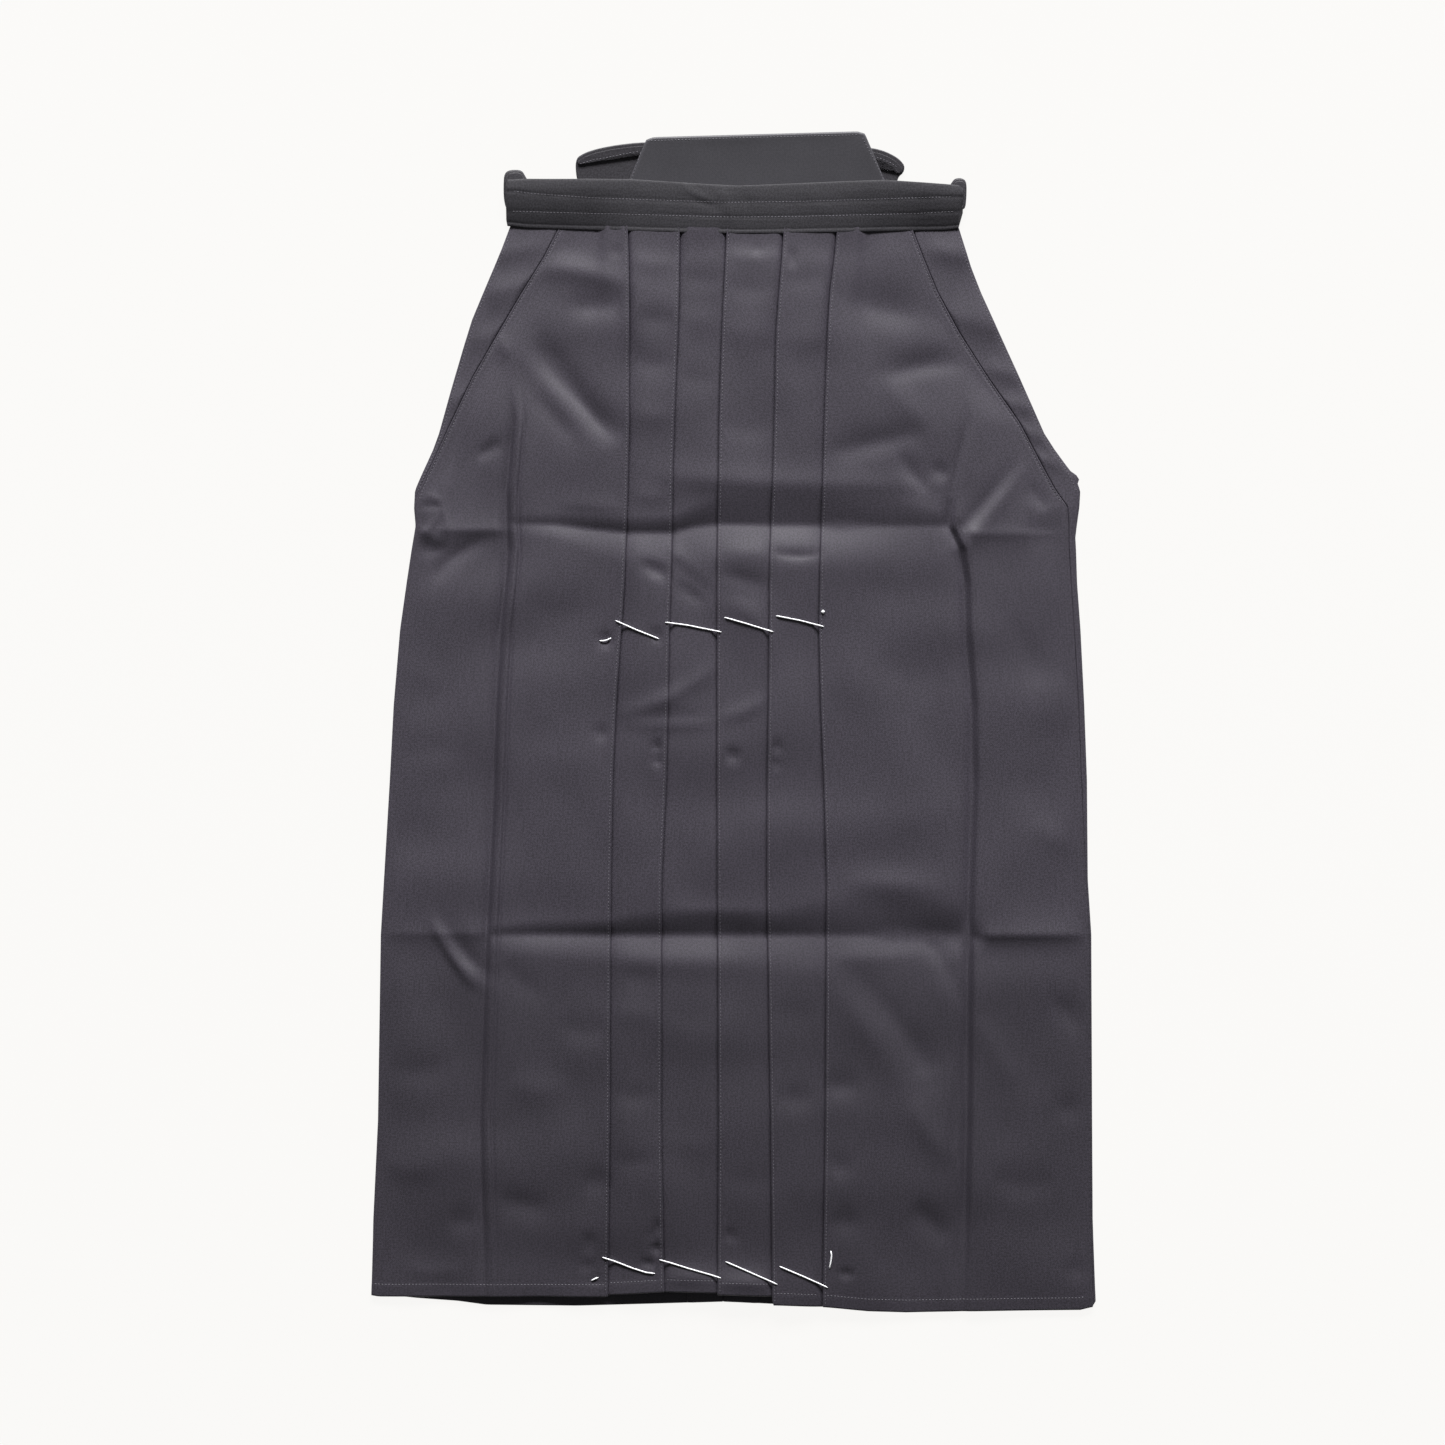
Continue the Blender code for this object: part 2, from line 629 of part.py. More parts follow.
def main():
    clear_scene()
    cloth = COLOURS["cloth"]
    add_folded_cloth("front_right_leg", front_middle(right_front_section, FRONT_HEM_RIGHT), cloth)
    add_folded_cloth("front_left_leg", front_middle(left_front_section, FRONT_HEM_LEFT), cloth)
    add_folded_cloth("back_right_leg", back_middle("right_side", 1), cloth)
    add_folded_cloth("back_left_leg", back_middle("left_side", -1), cloth)
    add_gusset()
    add_waistband()
    add_board()
    add_strap("back_strap_right", BACK_STRAP_RIGHT, under_board)
    add_strap("back_strap_left", BACK_STRAP_LEFT, under_board)
    add_strap("front_strap_right", FRONT_STRAP_RIGHT, under_band)
    add_strap("front_strap_left", FRONT_STRAP_LEFT, under_band)


main()
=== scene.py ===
"""Looks of divided pleated trousers (hakama) lying flat with the front up.

Lengths are in millimetres until add_mesh turns them into metres. +X is to the right as seen from
above, +Y runs from the hems to the waist and +Z is up. "up" is measured from the hems' lowest point
towards the waist. Right and left in names are the wearer's, so the right leg is at -X.
"""

import bpy
import numpy as np
from bpy.props import FloatProperty, FloatVectorProperty, PointerProperty
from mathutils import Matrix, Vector
from mathutils.bvhtree import BVHTree


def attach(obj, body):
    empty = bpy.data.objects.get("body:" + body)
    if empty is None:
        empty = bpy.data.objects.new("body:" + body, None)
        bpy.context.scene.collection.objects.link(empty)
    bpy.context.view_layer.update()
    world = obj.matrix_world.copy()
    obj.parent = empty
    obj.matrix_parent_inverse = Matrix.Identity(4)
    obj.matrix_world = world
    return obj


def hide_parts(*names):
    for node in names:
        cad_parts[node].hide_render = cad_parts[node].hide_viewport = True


bl_info = {
    "name": "Pleated trousers laid flat",
    "version": (1, 0, 0),
    "blender": (4, 5, 0),
    "location": "3D View > Sidebar > Trousers",
    "description": "Builds pleated divided trousers with creases, seams and basting threads",
    "category": "Object",
}

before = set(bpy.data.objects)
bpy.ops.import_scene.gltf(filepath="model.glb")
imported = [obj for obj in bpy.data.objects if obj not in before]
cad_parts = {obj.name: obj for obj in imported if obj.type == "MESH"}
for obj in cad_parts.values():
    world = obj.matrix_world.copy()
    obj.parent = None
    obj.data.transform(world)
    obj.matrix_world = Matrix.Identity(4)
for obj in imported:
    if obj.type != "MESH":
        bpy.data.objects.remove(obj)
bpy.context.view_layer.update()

MM = 0.001
# From the hems' lowest point to the board's highest one
LENGTH = 1006.8
# The photographed square: its side in pixels, and the width that one of them takes in
PHOTO_SIDE = 1445
MM_PER_PIXEL = 0.853

# Layers of the fronts: distance between the middles of two layers, and radius of a fold
LAYER = 1.3
TURN = LAYER / 2
# Number of the uppermost layer of a pleat, counted from 0
TOP_LAYER = 2.0
# How far the front may sink below its flat place on the back
FRONT_SINKS = 0.1
# Thickness of the cloth in the CAD part, whose middle this cloth keeps
CAD_CLOTH = 1.0
# Where the fronts and the backs end under the band
FRONT_TOP = 935.7
BACK_TOP = 937.7

# Slope beside the outer pleats: its length, and the share of it that is left at the narrow waist
RAMP = 42.0
RAMP_AT_WAIST = 0.24
RAMP_UPS = (700.0, 930.0)

# Pleats: how far each fold reaches back under its own strip, at the hem and at the waist
PLEAT_AT_HEM = 21.0
PLEAT_AT_WAIST = 16.0
# Power of the rise from a fold to the next strip, lower down and at the waist
QUICK_UPS = (820.0, 925.0)
QUICK_POWERS = (2.7, 14.0)
# Swelling of the middle strip between its folds, in layers
CROWN_UPS = (860.0, 925.0)
CROWNS = (1.1, 2.5)
CROWN_POWER = 6

# Centre folds of the backs: their middle, their depth and how far each edge stays from the middle
BACK_FOLD_X = -9.0
BACK_PLEAT = 30.0
BACK_EDGE_IN = 0.45

GUSSET_WIDTH = 80.0
GUSSET_HEIGHT = 160.0
# Share of its length that is built, short of its two points
GUSSET_LONGEST = 0.97
CROTCH_UP = 530.0

# Puff of the front between its creases: over which length it shows, and its slope at the sides
PUFF_MIDDLE = 470.0
PUFF_FULL = 360.0
PUFF_NONE = 462.0
PUFF_SLOPE = 26.0

# The two long storage creases. In the middle each is a valley along its own line: how far it
# reaches above and below the line, and how much of the puff it presses down
LONG_CREASE_COLUMNS = ("x", "up", "above", "below", "press")
UPPER_CREASE = (
    (-190.0, 673.0, 8.0, 10.0, 0.15), (-150.0, 672.0, 10.0, 14.0, 0.4),
    (-120.0, 668.0, 12.0, 22.0, 0.6), (-91.0, 665.0, 14.0, 28.0, 0.75),
    (-54.0, 665.0, 15.0, 34.0, 0.8), (-32.0, 670.5, 19.0, 36.0, 0.9),
    (-12.0, 672.5, 26.0, 38.0, 1.0), (40.0, 671.5, 27.0, 38.0, 1.0),
    (100.0, 671.5, 26.0, 40.0, 0.95), (140.0, 671.0, 25.0, 48.0, 0.85),
    (166.0, 671.0, 16.0, 44.0, 0.6), (190.0, 671.0, 9.0, 20.0, 0.3),
)
LOWER_CREASE = (
    (-205.0, 322.0, 9.0, 14.0, 0.3), (-170.0, 322.5, 12.0, 20.0, 0.6),
    (-105.0, 322.0, 14.0, 26.0, 0.8), (-85.0, 322.0, 20.0, 28.0, 0.95),
    (-12.0, 322.0, 24.0, 34.0, 1.0), (40.0, 322.0, 22.0, 35.0, 0.95),
    (78.0, 322.0, 34.0, 36.0, 1.0), (130.0, 322.0, 42.0, 40.0, 1.0),
    (190.0, 321.5, 30.0, 26.0, 1.0), (205.0, 320.0, 16.0, 14.0, 0.6),
)
# On the outer flaps the same creases are ridges, which end at the sides and at the upright creases
FLAP_SLOPE = 12.0
FLAP_BLEND = 16.0

# The two upright creases, over the length where they show
UPRIGHT_MIDDLE = 330.0
UPRIGHT_FULL = 400.0
UPRIGHT_NONE = 470.0
# Width of the grid's fine columns beside an upright crease and beside the garment's sides
CREASE_ROOM = 12.0
CREASE_ROOM_AT_WAIST = 3.0
CREASE_ROOM_UPS = (900.0, 936.0)
SIDE_ROOM = 4.8

# Height left across each upright crease, as a share of the cloth's rise beside it: a valley near its
# line, with a small ridge on its side towards +X
UPRIGHT_COLUMNS = ("beside", "share")
RIGHT_UPRIGHT = (
    (-48.0, 1.0), (-28.0, 0.86), (-18.0, 0.74), (-13.5, 0.52), (-10.5, 0.26), (-8.0, 0.0),
    (-6.0, 0.34), (-4.2, 0.8), (-1.0, 1.12), (0.3, 1.15), (1.8, 0.72), (3.0, 0.7), (5.0, 0.94),
    (12.0, 1.02), (30.0, 1.0), (48.0, 1.0),
)
LEFT_UPRIGHT = (
    (-40.0, 1.0), (-22.0, 0.94), (-13.0, 0.82), (-8.5, 0.6), (-5.0, 0.3), (-2.4, 0.0),
    (-0.2, 0.28), (1.8, 0.68), (4.0, 1.02), (8.0, 1.12), (16.0, 1.06), (34.0, 1.0), (48.0, 1.0),
)
# The left leg's is faint above the upper storage crease and the right leg's below the lower one
UPRIGHT_FAINT = 0.65
UPPER_FAINT_FROM = 665.0
UPPER_FAINT_OVER = 30.0
RIGHT_LOW_FAINT = 0.3
LOW_FAINT_FROM = 340.0
LOW_FAINT_OVER = 60.0
# Each stands in a low swelling
UPRIGHT_RISE = 1.5
UPRIGHT_REACH = 30.0

# Each flap's two ridges: up, height, reach below and reach above, and the power of their bell
RIDGE_BELL = 1.1
RIGHT_FLAP_RIDGES = ((667.0, 2.6, 9.0, 15.0), (323.0, 1.7, 9.0, 17.0))
LEFT_FLAP_RIDGES = ((664.0, 2.2, 10.0, 16.0), (322.0, 3.4, 8.0, 20.0))

# The cloth swells where it comes out from under the band
WAIST_SWELL_COLUMNS = ("x", "height")
WAIST_SWELL = ((-145.0, 0.2), (-115.0, 1.0), (-40.0, 1.1), (40.0, 1.1), (90.0, 1.6), (150.0, 1.2))
WAIST_SWELL_UP = 930.0
WAIST_SWELL_BELOW = 50.0
WAIST_SWELL_ABOVE = 12.0

# It also swells beside the hem, whose turned-up edge lies flat
HEM_SWELL_COLUMNS = ("x", "height")
HEM_SWELL = (
    (-309.0, 0.8), (-115.0, 1.0), (-104.0, 2.2), (-60.0, 2.6), (25.0, 2.6), (40.0, 1.3), (80.0, 1.0),
    (309.0, 0.9),
)
HEM_SWELL_UP = 17.0
HEM_SWELL_BELOW = 22.0
HEM_SWELL_ABOVE = 24.0

# Soft unevenness of the whole cloth. Each wave has its length along x and up, how far it is bent
# and its height
WAVES = (
    (310.0, 163.0, 1.9, 0.6), (-144.0, 231.0, 2.6, 0.5), (91.0, 137.0, 1.8, 0.14),
)
WAVE_ACROSS = 0.6

# A slanting drag from the waist of the right leg: its middle, the direction across it, the radius in
# which it shows, its width and how far it is pressed down
DRAG_MIDDLE = (-136.0, 784.0)
DRAG_ACROSS = (0.77, 0.64)
DRAG_FULL = 30.0
DRAG_NONE = 60.0
DRAG_WIDTH = 12.0
DRAG_PRESS = 0.6

# Where the front climbs over the back's folds and over the gusset, beside the centre and along it
FOLDS_FULL = 60.0
FOLDS_NONE = 105.0
GUSSET_FULL = 62.0
GUSSET_LENGTH_FULL = 100.0
GUSSET_LENGTH_NONE = 170.0

# The board: its thickness, how far its lower edge is off the floor, how much higher its upper edge
# lies, and where it starts
BOARD_THICK = 4.5
BOARD_FOOT = 0.1
BOARD_LIFT = 7.0
BOARD_BOTTOM = 938.0

# Underside of the band: its height at the ends, what the pleats and the board add in the middle,
# and over which length that middle reaches
BAND_LIFT = 5.5
BAND_OVER_PLEATS = 1.0
BAND_OVER_BOARD = 1.35
BAND_SLOPE_FROM = 930.0
BAND_SLOPE_LENGTH = 34.0
BAND_MIDDLE = 18.0
BAND_FULL = 135.0
BAND_NONE = 185.0
# The straps: the height of those under the band, and the gap between the board and those below it
STRAP_HEIGHT = 5.2
STRAP_GAP = 0.35

# The turned-up hem: its height, the height over which rows close up to it, its slope, and shares of
# the cloth's thickness that the turned-up edge adds and that the stitches take away
HEM_FOLD = 11.0
HEM_BLEND = 60.0
HEM_SLOPE = 1.2
HEM_ADDS = 0.35
HEM_GROOVE = 0.3

FRONT_COLUMNS = (
    "up", "right_side", "right_crease", "fold_1", "fold_2", "fold_3", "fold_4", "fold_5",
    "left_crease", "left_side",
)
FRONT = (
    (936.0, -144.5, -126.0, -90.8, -46.2, -5.4, 43.3, 89.0, 126.0, 148.0),
    (925.0, -149.0, -131.0, -90.6, -46.2, -5.7, 42.9, 88.5, 131.0, 152.0),
    (900.0, -162.0, -141.0, -89.7, -46.5, -6.7, 41.4, 86.2, 140.0, 161.5),
    (870.0, -180.6, -155.0, -89.3, -46.8, -8.2, 39.0, 82.4, 152.0, 173.9),
    (835.0, -201.1, -178.0, -89.3, -47.8, -9.7, 36.4, 80.3, 171.0, 192.8),
    (798.0, -222.4, -184.0, -89.3, -49.4, -11.0, 35.7, 78.8, 195.0, 216.5),
    (759.0, -241.1, -181.0, -89.3, -50.9, -12.0, 34.9, 77.5, 201.0, 243.8),
    (722.0, -258.2, -184.0, -90.1, -52.1, -12.5, 34.0, 76.5, 193.0, 263.2),
    (702.0, -268.4, -186.0, -90.6, -52.3, -12.8, 33.3, 76.0, 189.0, 274.1),
    (687.0, -272.7, -186.0, -91.0, -52.6, -13.0, 32.7, 75.6, 187.0, 284.7),
    (671.0, -271.3, -186.0, -91.6, -52.8, -13.3, 32.1, 75.1, 185.0, 285.6),
    (650.0, -274.8, -185.0, -92.4, -53.1, -13.7, 31.3, 74.3, 195.0, 286.0),
    (622.0, -279.0, -187.0, -93.3, -53.9, -13.8, 30.8, 73.7, 199.0, 287.7),
    (582.0, -284.6, -191.5, -96.1, -55.2, -13.8, 30.6, 73.0, 200.0, 290.3),
    (518.0, -290.0, -195.0, -100.6, -56.3, -13.8, 29.9, 74.5, 205.0, 294.0),
    (454.0, -293.3, -197.0, -103.4, -57.7, -13.8, 29.0, 77.1, 205.8, 296.5),
    (369.0, -298.3, -200.5, -104.9, -61.7, -13.4, 28.7, 79.6, 203.0, 300.1),
    (322.0, -301.0, -203.0, -105.2, -61.8, -13.2, 29.4, 79.3, 202.0, 303.0),
    (164.0, -303.4, -208.7, -105.9, -62.0, -12.5, 31.8, 78.5, 200.7, 304.2),
    (79.0, -307.4, -206.2, -107.0, -60.6, -13.0, 32.7, 77.3, 199.0, 304.2),
    (0.0, -309.0, -204.0, -107.8, -59.5, -13.4, 33.4, 76.3, 197.3, 306.4),
)

BACK_COLUMNS = ("up", "right_side", "left_side")
BACK = (
    (938.0, -186.5, 187.5), (925.0, -191.3, 192.2), (907.0, -198.0, 197.8),
    (892.0, -204.3, 202.5), (870.0, -213.6, 211.0), (847.0, -223.2, 221.4),
    (823.0, -230.6, 232.4), (795.0, -238.8, 245.1), (767.0, -246.7, 257.5),
    (750.0, -251.4, 265.0), (736.0, -256.5, 274.0), (723.0, -262.4, 283.5),
    (717.0, -265.2, 288.2), (712.5, -267.2, 295.4), (707.0, -269.6, 293.5),
    (701.0, -272.0, 295.8), (687.0, -272.7, 295.0), (671.0, -271.3, 292.8),
    (661.0, -271.0, 291.6), (650.0, -274.8, 292.2), (622.0, -279.0, 293.1),
    (582.0, -284.6, 296.0), (518.0, -290.0, 299.2), (454.0, -293.3, 301.5),
    (369.0, -298.3, 302.2), (322.0, -301.0, 305.2), (164.0, -303.4, 305.9),
    (79.0, -307.4, 306.4), (0.0, -309.0, 309.0),
)

HEM_COLUMNS = ("x", "up")
FRONT_HEM_RIGHT = (
    (-309.0, 14.5), (-303.0, 13.5), (-109.0, 13.5), (-106.0, 15.0), (-60.0, 18.0), (-13.0, 17.0),
)
FRONT_HEM_LEFT = (
    (-13.0, 15.6), (33.0, 14.2), (34.0, 6.7), (76.0, 4.9), (115.0, 1.1), (147.0, 0.0),
    (196.0, 0.9), (296.0, 2.0), (306.0, 4.5),
)
BACK_HEM = (
    (-309.0, 16.0), (-270.0, 12.0), (-236.0, 9.6), (-211.0, 6.2), (-133.0, 5.4), (-60.0, 7.4),
    (-9.0, 9.0), (5.0, 8.4), (40.0, 6.6), (120.0, 5.0), (306.0, 4.0), (309.0, 9.0),
)

# Rows of the cloth's grid, from one place down to another at a step: closer at the storage creases
# and at the hem
ROWS = (
    (936.0, 700.0, 3.6), (700.0, 640.0, 2.3), (640.0, 350.0, 4.3), (350.0, 292.0, 2.4),
    (292.0, 40.0, 4.4), (40.0, 18.0, 2.2), (18.0, 0.0, 1.2),
)

# Creases. Each is a bend through three places, with its height (below 0 for a trough)
# and how far it reaches to its left and to its right, looking from its first place to its last
FRONT_CREASES = (
    # Drags from the waist of the right leg to its pleats
    (-167, 836, -137, 788, -93, 745, -1.9, 10, 12),
    (-202, 840, -150, 779, -119, 740, 0.9, 12, 9),
    (-169, 784, -154, 765, -137, 745, -1.1, 9, 9),
    (-213, 860, -204, 836, -191, 814, 1.8, 6, 9),
    (-189, 892, -132, 888, -91, 875, 1.9, 12, 10),
    (-143, 859, -118, 858, -94, 860, -2.1, 14, 12),
    (-84, 850, -67, 846, -50, 848, -1.4, 12, 14),
    # The right leg's flap beside the end of its slit
    (-230, 741, -238, 688, -242, 649, -1.2, 7, 5),
    (-219, 730, -208, 736, -198, 742, -1.4, 6, 6),
    (-210, 660, -241, 643, -256, 623, -1.6, 8, 7),
    (-274, 652, -259, 650, -245, 652, -1.2, 6, 6),
    (-272, 672, -262, 664, -250, 660, 1.0, 4, 5),
    (-258, 335, -237, 299, -218, 278, 2.1, 9, 4),
    (-250, 338, -228, 304, -206, 286, -1.6, 8, 7),
    # The left leg's drags and the corner of its slit
    (252, 725, 219, 682, 193, 647, 1.3, 8, 7),
    (240, 722, 208, 684, 184, 655, -1.4, 9, 7),
    (254, 706, 261, 695, 267, 684, -1.4, 6, 7),
    (245, 667, 268, 666, 290, 663, -1.9, 12, 14),
    (182, 671, 187, 659, 193, 649, 1.4, 5, 5),
    (98, 864, 129, 857, 160, 849, -1.5, 20, 13),
    (130, 800, 165, 809, 197, 812, -2.1, 12, 10),
    (82, 733, 122, 742, 162, 751, -2.0, 12, 11),
    (141, 734, 154, 714, 167, 701, -1.8, 9, 8),
    (169, 723, 176, 717, 182, 712, -1.2, 6, 7),
    (120, 800, 150, 770, 178, 742, 1.2, 14, 14),
    (93, 301, 144, 242, 167, 201, -1.8, 15, 13),
    (74, 288, 118, 236, 140, 186, 1.2, 13, 15),
    # Swellings along the storage creases
    (-58, 713, 50, 706, 186, 707, 1.5, 12, 10),
    (-150, 690, -120, 688, -92, 684, 0.8, 10, 8),
    (95, 367, 132, 365, 176, 362, 2.0, 15, 13),
    (-60, 345, -20, 343, 30, 343, 0.7, 9, 9),
    (-104, 303, -50, 300, 20, 300, 0.9, 12, 12),
    (80, 303, 120, 302, 170, 306, 0.9, 12, 10),
    (-12, 27, 10, 26, 32, 25, 1.0, 9, 7),
    (-58, 30, -40, 30, -16, 28, 0.8, 9, 7),
    # The seam and the bar tack where the right leg's slit ends, and the rays below the tack
    (-273, 687, -261, 687.4, -249, 688, -0.8, 1.8, 1.8),
    (-249, 686, -257, 672, -270, 660, 0.7, 2.5, 3),
    (-250, 686, -254, 668, -262, 650, -0.7, 3, 3),
    (-247, 686, -244, 672, -243, 656, 0.6, 3, 3),
    (-268, 694, -258, 696, -250, 690, 0.7, 3, 3),
    # Puckers beside the pleats
    (-88, 900, -68, 893, -50, 897, 0.56, 9, 8),
    (-87, 815, -70, 808, -52, 812, -0.62, 10, 9),
    (-86, 770, -70, 764, -54, 768, 0.56, 9, 9),
    (-45, 888, -28, 880, -9, 884, -0.68, 12, 10),
    (-45, 842, -30, 846, -12, 838, 0.62, 12, 12),
    (-47, 800, -32, 796, -14, 792, -0.56, 10, 12),
    (-4, 905, 16, 898, 38, 902, 0.62, 9, 8),
    (-6, 878, 12, 872, 36, 876, -0.68, 11, 10),
    (-8, 830, 10, 836, 32, 828, 0.5, 14, 14),
    (-10, 760, 10, 752, 32, 756, -0.56, 13, 10),
    (44, 884, 60, 880, 82, 886, -0.56, 10, 10),
    (42, 835, 60, 828, 78, 834, 0.5, 12, 12),
    (-10, 649, 10, 647, 31, 646, 0.62, 9, 9),
    (-10, 613, 10, 612, 31, 612, -0.62, 10, 10),
    (-86, 700, -70, 695, -56, 699, 0.5, 8, 7),
    (-100, 292, -80, 285, -64, 290, -0.56, 10, 9),
    (-102, 250, -84, 256, -66, 248, 0.43, 9, 10),
    (-103, 190, -85, 184, -66, 188, -0.5, 9, 9),
    (-103, 133, -86, 128, -65, 132, -0.5, 9, 8),
    (-60, 262, -36, 252, -16, 258, -0.5, 14, 13),
    (34, 262, 50, 254, 74, 260, -0.43, 13, 12),
    (-58, 150, -36, 142, -16, 147, 0.43, 13, 12),
    (-8, 120, 10, 112, 30, 116, -0.43, 12, 12),
    # Beside the upright creases of the lower part
    (168, 318, 180, 296, 196, 262, -1.4, 10, 8),
    (150, 180, 168, 150, 186, 128, 1.0, 12, 12),
    (206, 250, 224, 222, 236, 190, 0.9, 13, 12),
    (-196, 300, -182, 282, -160, 270, -1.0, 12, 12),
    (-190, 200, -168, 190, -140, 196, 0.8, 15, 14),
    (-150, 250, -128, 240, -108, 246, -0.9, 14, 12),
    (-296, 210, -272, 205, -240, 212, -0.8, 15, 14),
    (-300, 130, -276, 122, -248, 128, 0.7, 14, 12),
    (-280, 40, -256, 34, -230, 38, 0.6, 10, 10),
    (222, 118, 246, 108, 272, 114, -0.9, 15, 13),
    (120, 560, 150, 540, 182, 548, -0.7, 20, 18),
    (-180, 610, -150, 596, -108, 604, -0.8, 18, 16),
    (-178, 480, -146, 470, -112, 476, 0.6, 20, 20),
    (96, 430, 132, 418, 180, 426, 0.7, 20, 20),
    # Between the pleats under the upper storage crease
    (-80, 638, -68, 634, -56, 629, -0.9, 5, 6),
    (-54, 651, -39, 631, -24, 612, 1.0, 7, 6),
    (34, 648, 53, 645, 74, 647, -1.0, 5, 4),
    (-71, 516, -50, 519, -29, 516, 0.9, 10, 12),
    (30, 560, 20, 590, -10, 606, 0.9, 9, 9),
    (-99, 511, -62, 521, -17, 548, 1.3, 7, 6),
    (-92, 503, -55, 501, -16, 503, 0.9, 4, 5),
    (-12, 507, 8, 512, 27, 523, 1.0, 6, 5),
    (-76, 637, -66, 632, -58, 627, -1.1, 5, 4),
    (-50, 643, -38, 629, -20, 613, -1.4, 5, 6),
    (-48, 621, -36, 612, -24, 606, -1.0, 5, 5),
    (-12, 631, 8, 625, 28, 620, -1.2, 7, 7),
    # Soft hollows of the lower part, each leg with its own
    (77, 196, 91, 193, 107, 196, -1.0, 12, 10),
    (36, 181, 52, 183, 68, 181, -0.8, 11, 11),
    (82, 121, 91, 124, 101, 121, -0.8, 12, 9),
    (82, 80, 95, 77, 107, 80, -0.9, 13, 10),
    (153, 92, 167, 77, 183, 62, -1.2, 11, 12),
    (274, 267, 287, 254, 299, 242, -1.2, 10, 9),
    (276, 170, 289, 173, 304, 170, -0.9, 11, 10),
    (283, 38, 295, 36, 306, 38, -0.8, 8, 9),
    (190, 192, 186, 112, 190, 14, -1.0, 4, 5),
    (-200, 98, -180, 92, -159, 89, -1.0, 10, 12),
    (-244, 75, -231, 77, -218, 75, -0.9, 12, 10),
    (-129, 115, -117, 112, -104, 115, -0.9, 11, 12),
    (-292, 560, -270, 545, -246, 541, 0.8, 16, 14),
    (-286, 470, -262, 480, -238, 476, -0.8, 15, 13),
    (230, 590, 251, 565, 262, 530, -0.9, 13, 15),
    (255, 420, 272, 405, 290, 402, 0.9, 14, 12),
)

# Shares of the tables' heights that are built: of the creases, what is added to it low on the legs,
# and of the dimples
CREASE_SCALE = 1.2
LOW_CREASE_SCALE = 0.5
LOW_CREASES_FROM = 270.0
LOW_CREASES_OVER = 60.0
DIMPLE_SCALE = 1.5
# Shape of every crease: power of the bell across it, how many reaches away it is left out, and at
# its ends the share of its length that is cut off and the power of its fade
CREASE_BELL = 1.7
CREASE_FAR = 3.0
CREASE_CUT = 0.04
CREASE_FADE = 0.7
# Where creases and dimples fade: beside the garment's sides and below the band
DETAIL_SIDE = 8.0
DETAIL_TOP = 922.0
DETAIL_TOP_FADE = 20.0

# Small dents: place along x and up, depth and radius
DIMPLES = (
    (-100, 905, 0.5, 4.5), (20, 907, 0.4, 4), (50, 902, 0.6, 4), (50, 895, 0.6, 3.5),
    (-113, 494, 1.0, 5), (-65, 482, 1.8, 4), (-65, 471, 1.6, 4), (-1, 475, 1.6, 5),
    (37, 482, 1.2, 3.5), (36, 468, 0.8, 3.5), (-123, 62, 1.2, 4), (-124, 55, 1.0, 3.5),
    (-124, 39, 1.2, 4), (-65, 73, 1.2, 3.5), (-69, 66, 1.0, 3.5), (-66, 55, 1.4, 4),
    (-73, 42, 1.2, 4), (-3, 66, 1.2, 4), (96, 33, 1.2, 4), (-109, 573, 1.6, 5),
    (-66, 577, 1.4, 4), (-118, 28, 1.4, 4),
)

# Outline of the band: x, its lower edge and its upper edge
BAND = (
    (-194.2, 932.0, 961.0), (-193.2, 927.0, 965.6), (-176.0, 925.0, 966.6),
    (-133.0, 923.4, 966.3), (-88.5, 922.0, 965.9), (-50.0, 920.9, 963.4),
    (-22.0, 920.2, 961.6), (5.0, 919.8, 960.3), (33.0, 919.9, 961.4),
    (89.0, 920.9, 963.8), (130.0, 922.0, 965.3), (180.0, 923.2, 962.0),
    (191.8, 924.6, 961.0), (195.6, 938.0, 958.0),
)
# The band's cross-section: share of its width and its thickness there, with a low lip like piping
# along its lower edge
BAND_PROFILE_COLUMNS = ("share", "thickness")
BAND_PROFILE = (
    (0.0, 0.4), (0.015, 0.7), (0.05, 0.85), (0.085, 0.65), (0.12, 1.0), (0.3, 1.9), (0.5, 2.5),
    (0.8, 2.7), (0.965, 2.35), (1.0, 2.05),
)
BAND_SHARES = (
    0.0, 0.006, 0.015, 0.03, 0.05, 0.068, 0.085, 0.1, 0.12, 0.16, 0.2, 0.25, 0.3, 0.345, 0.38,
    0.42, 0.47, 0.52, 0.57, 0.62, 0.67, 0.71, 0.745, 0.775, 0.81, 0.86, 0.91, 0.95, 0.975, 0.988,
    0.995, 1.0,
)
# Underside of its lower edge, which rests on the cloth, the share of the band that slopes to it and
# the power of that slope
BAND_EDGE_COLUMNS = ("x", "height")
BAND_EDGE = (
    (-195.0, 1.5), (-158.0, 1.6), (-142.0, 2.6), (-120.0, 3.2), (-104.0, 5.4), (-86.0, 6.5),
    (-50.0, 7.1), (40.0, 7.1), (72.0, 6.9), (90.0, 6.5), (104.0, 5.6), (118.0, 4.2), (146.0, 3.2),
    (160.0, 1.7), (196.0, 1.5),
)
BAND_SLOPE_SHARE = 0.85
BAND_SLOPE_POWER = 1.2
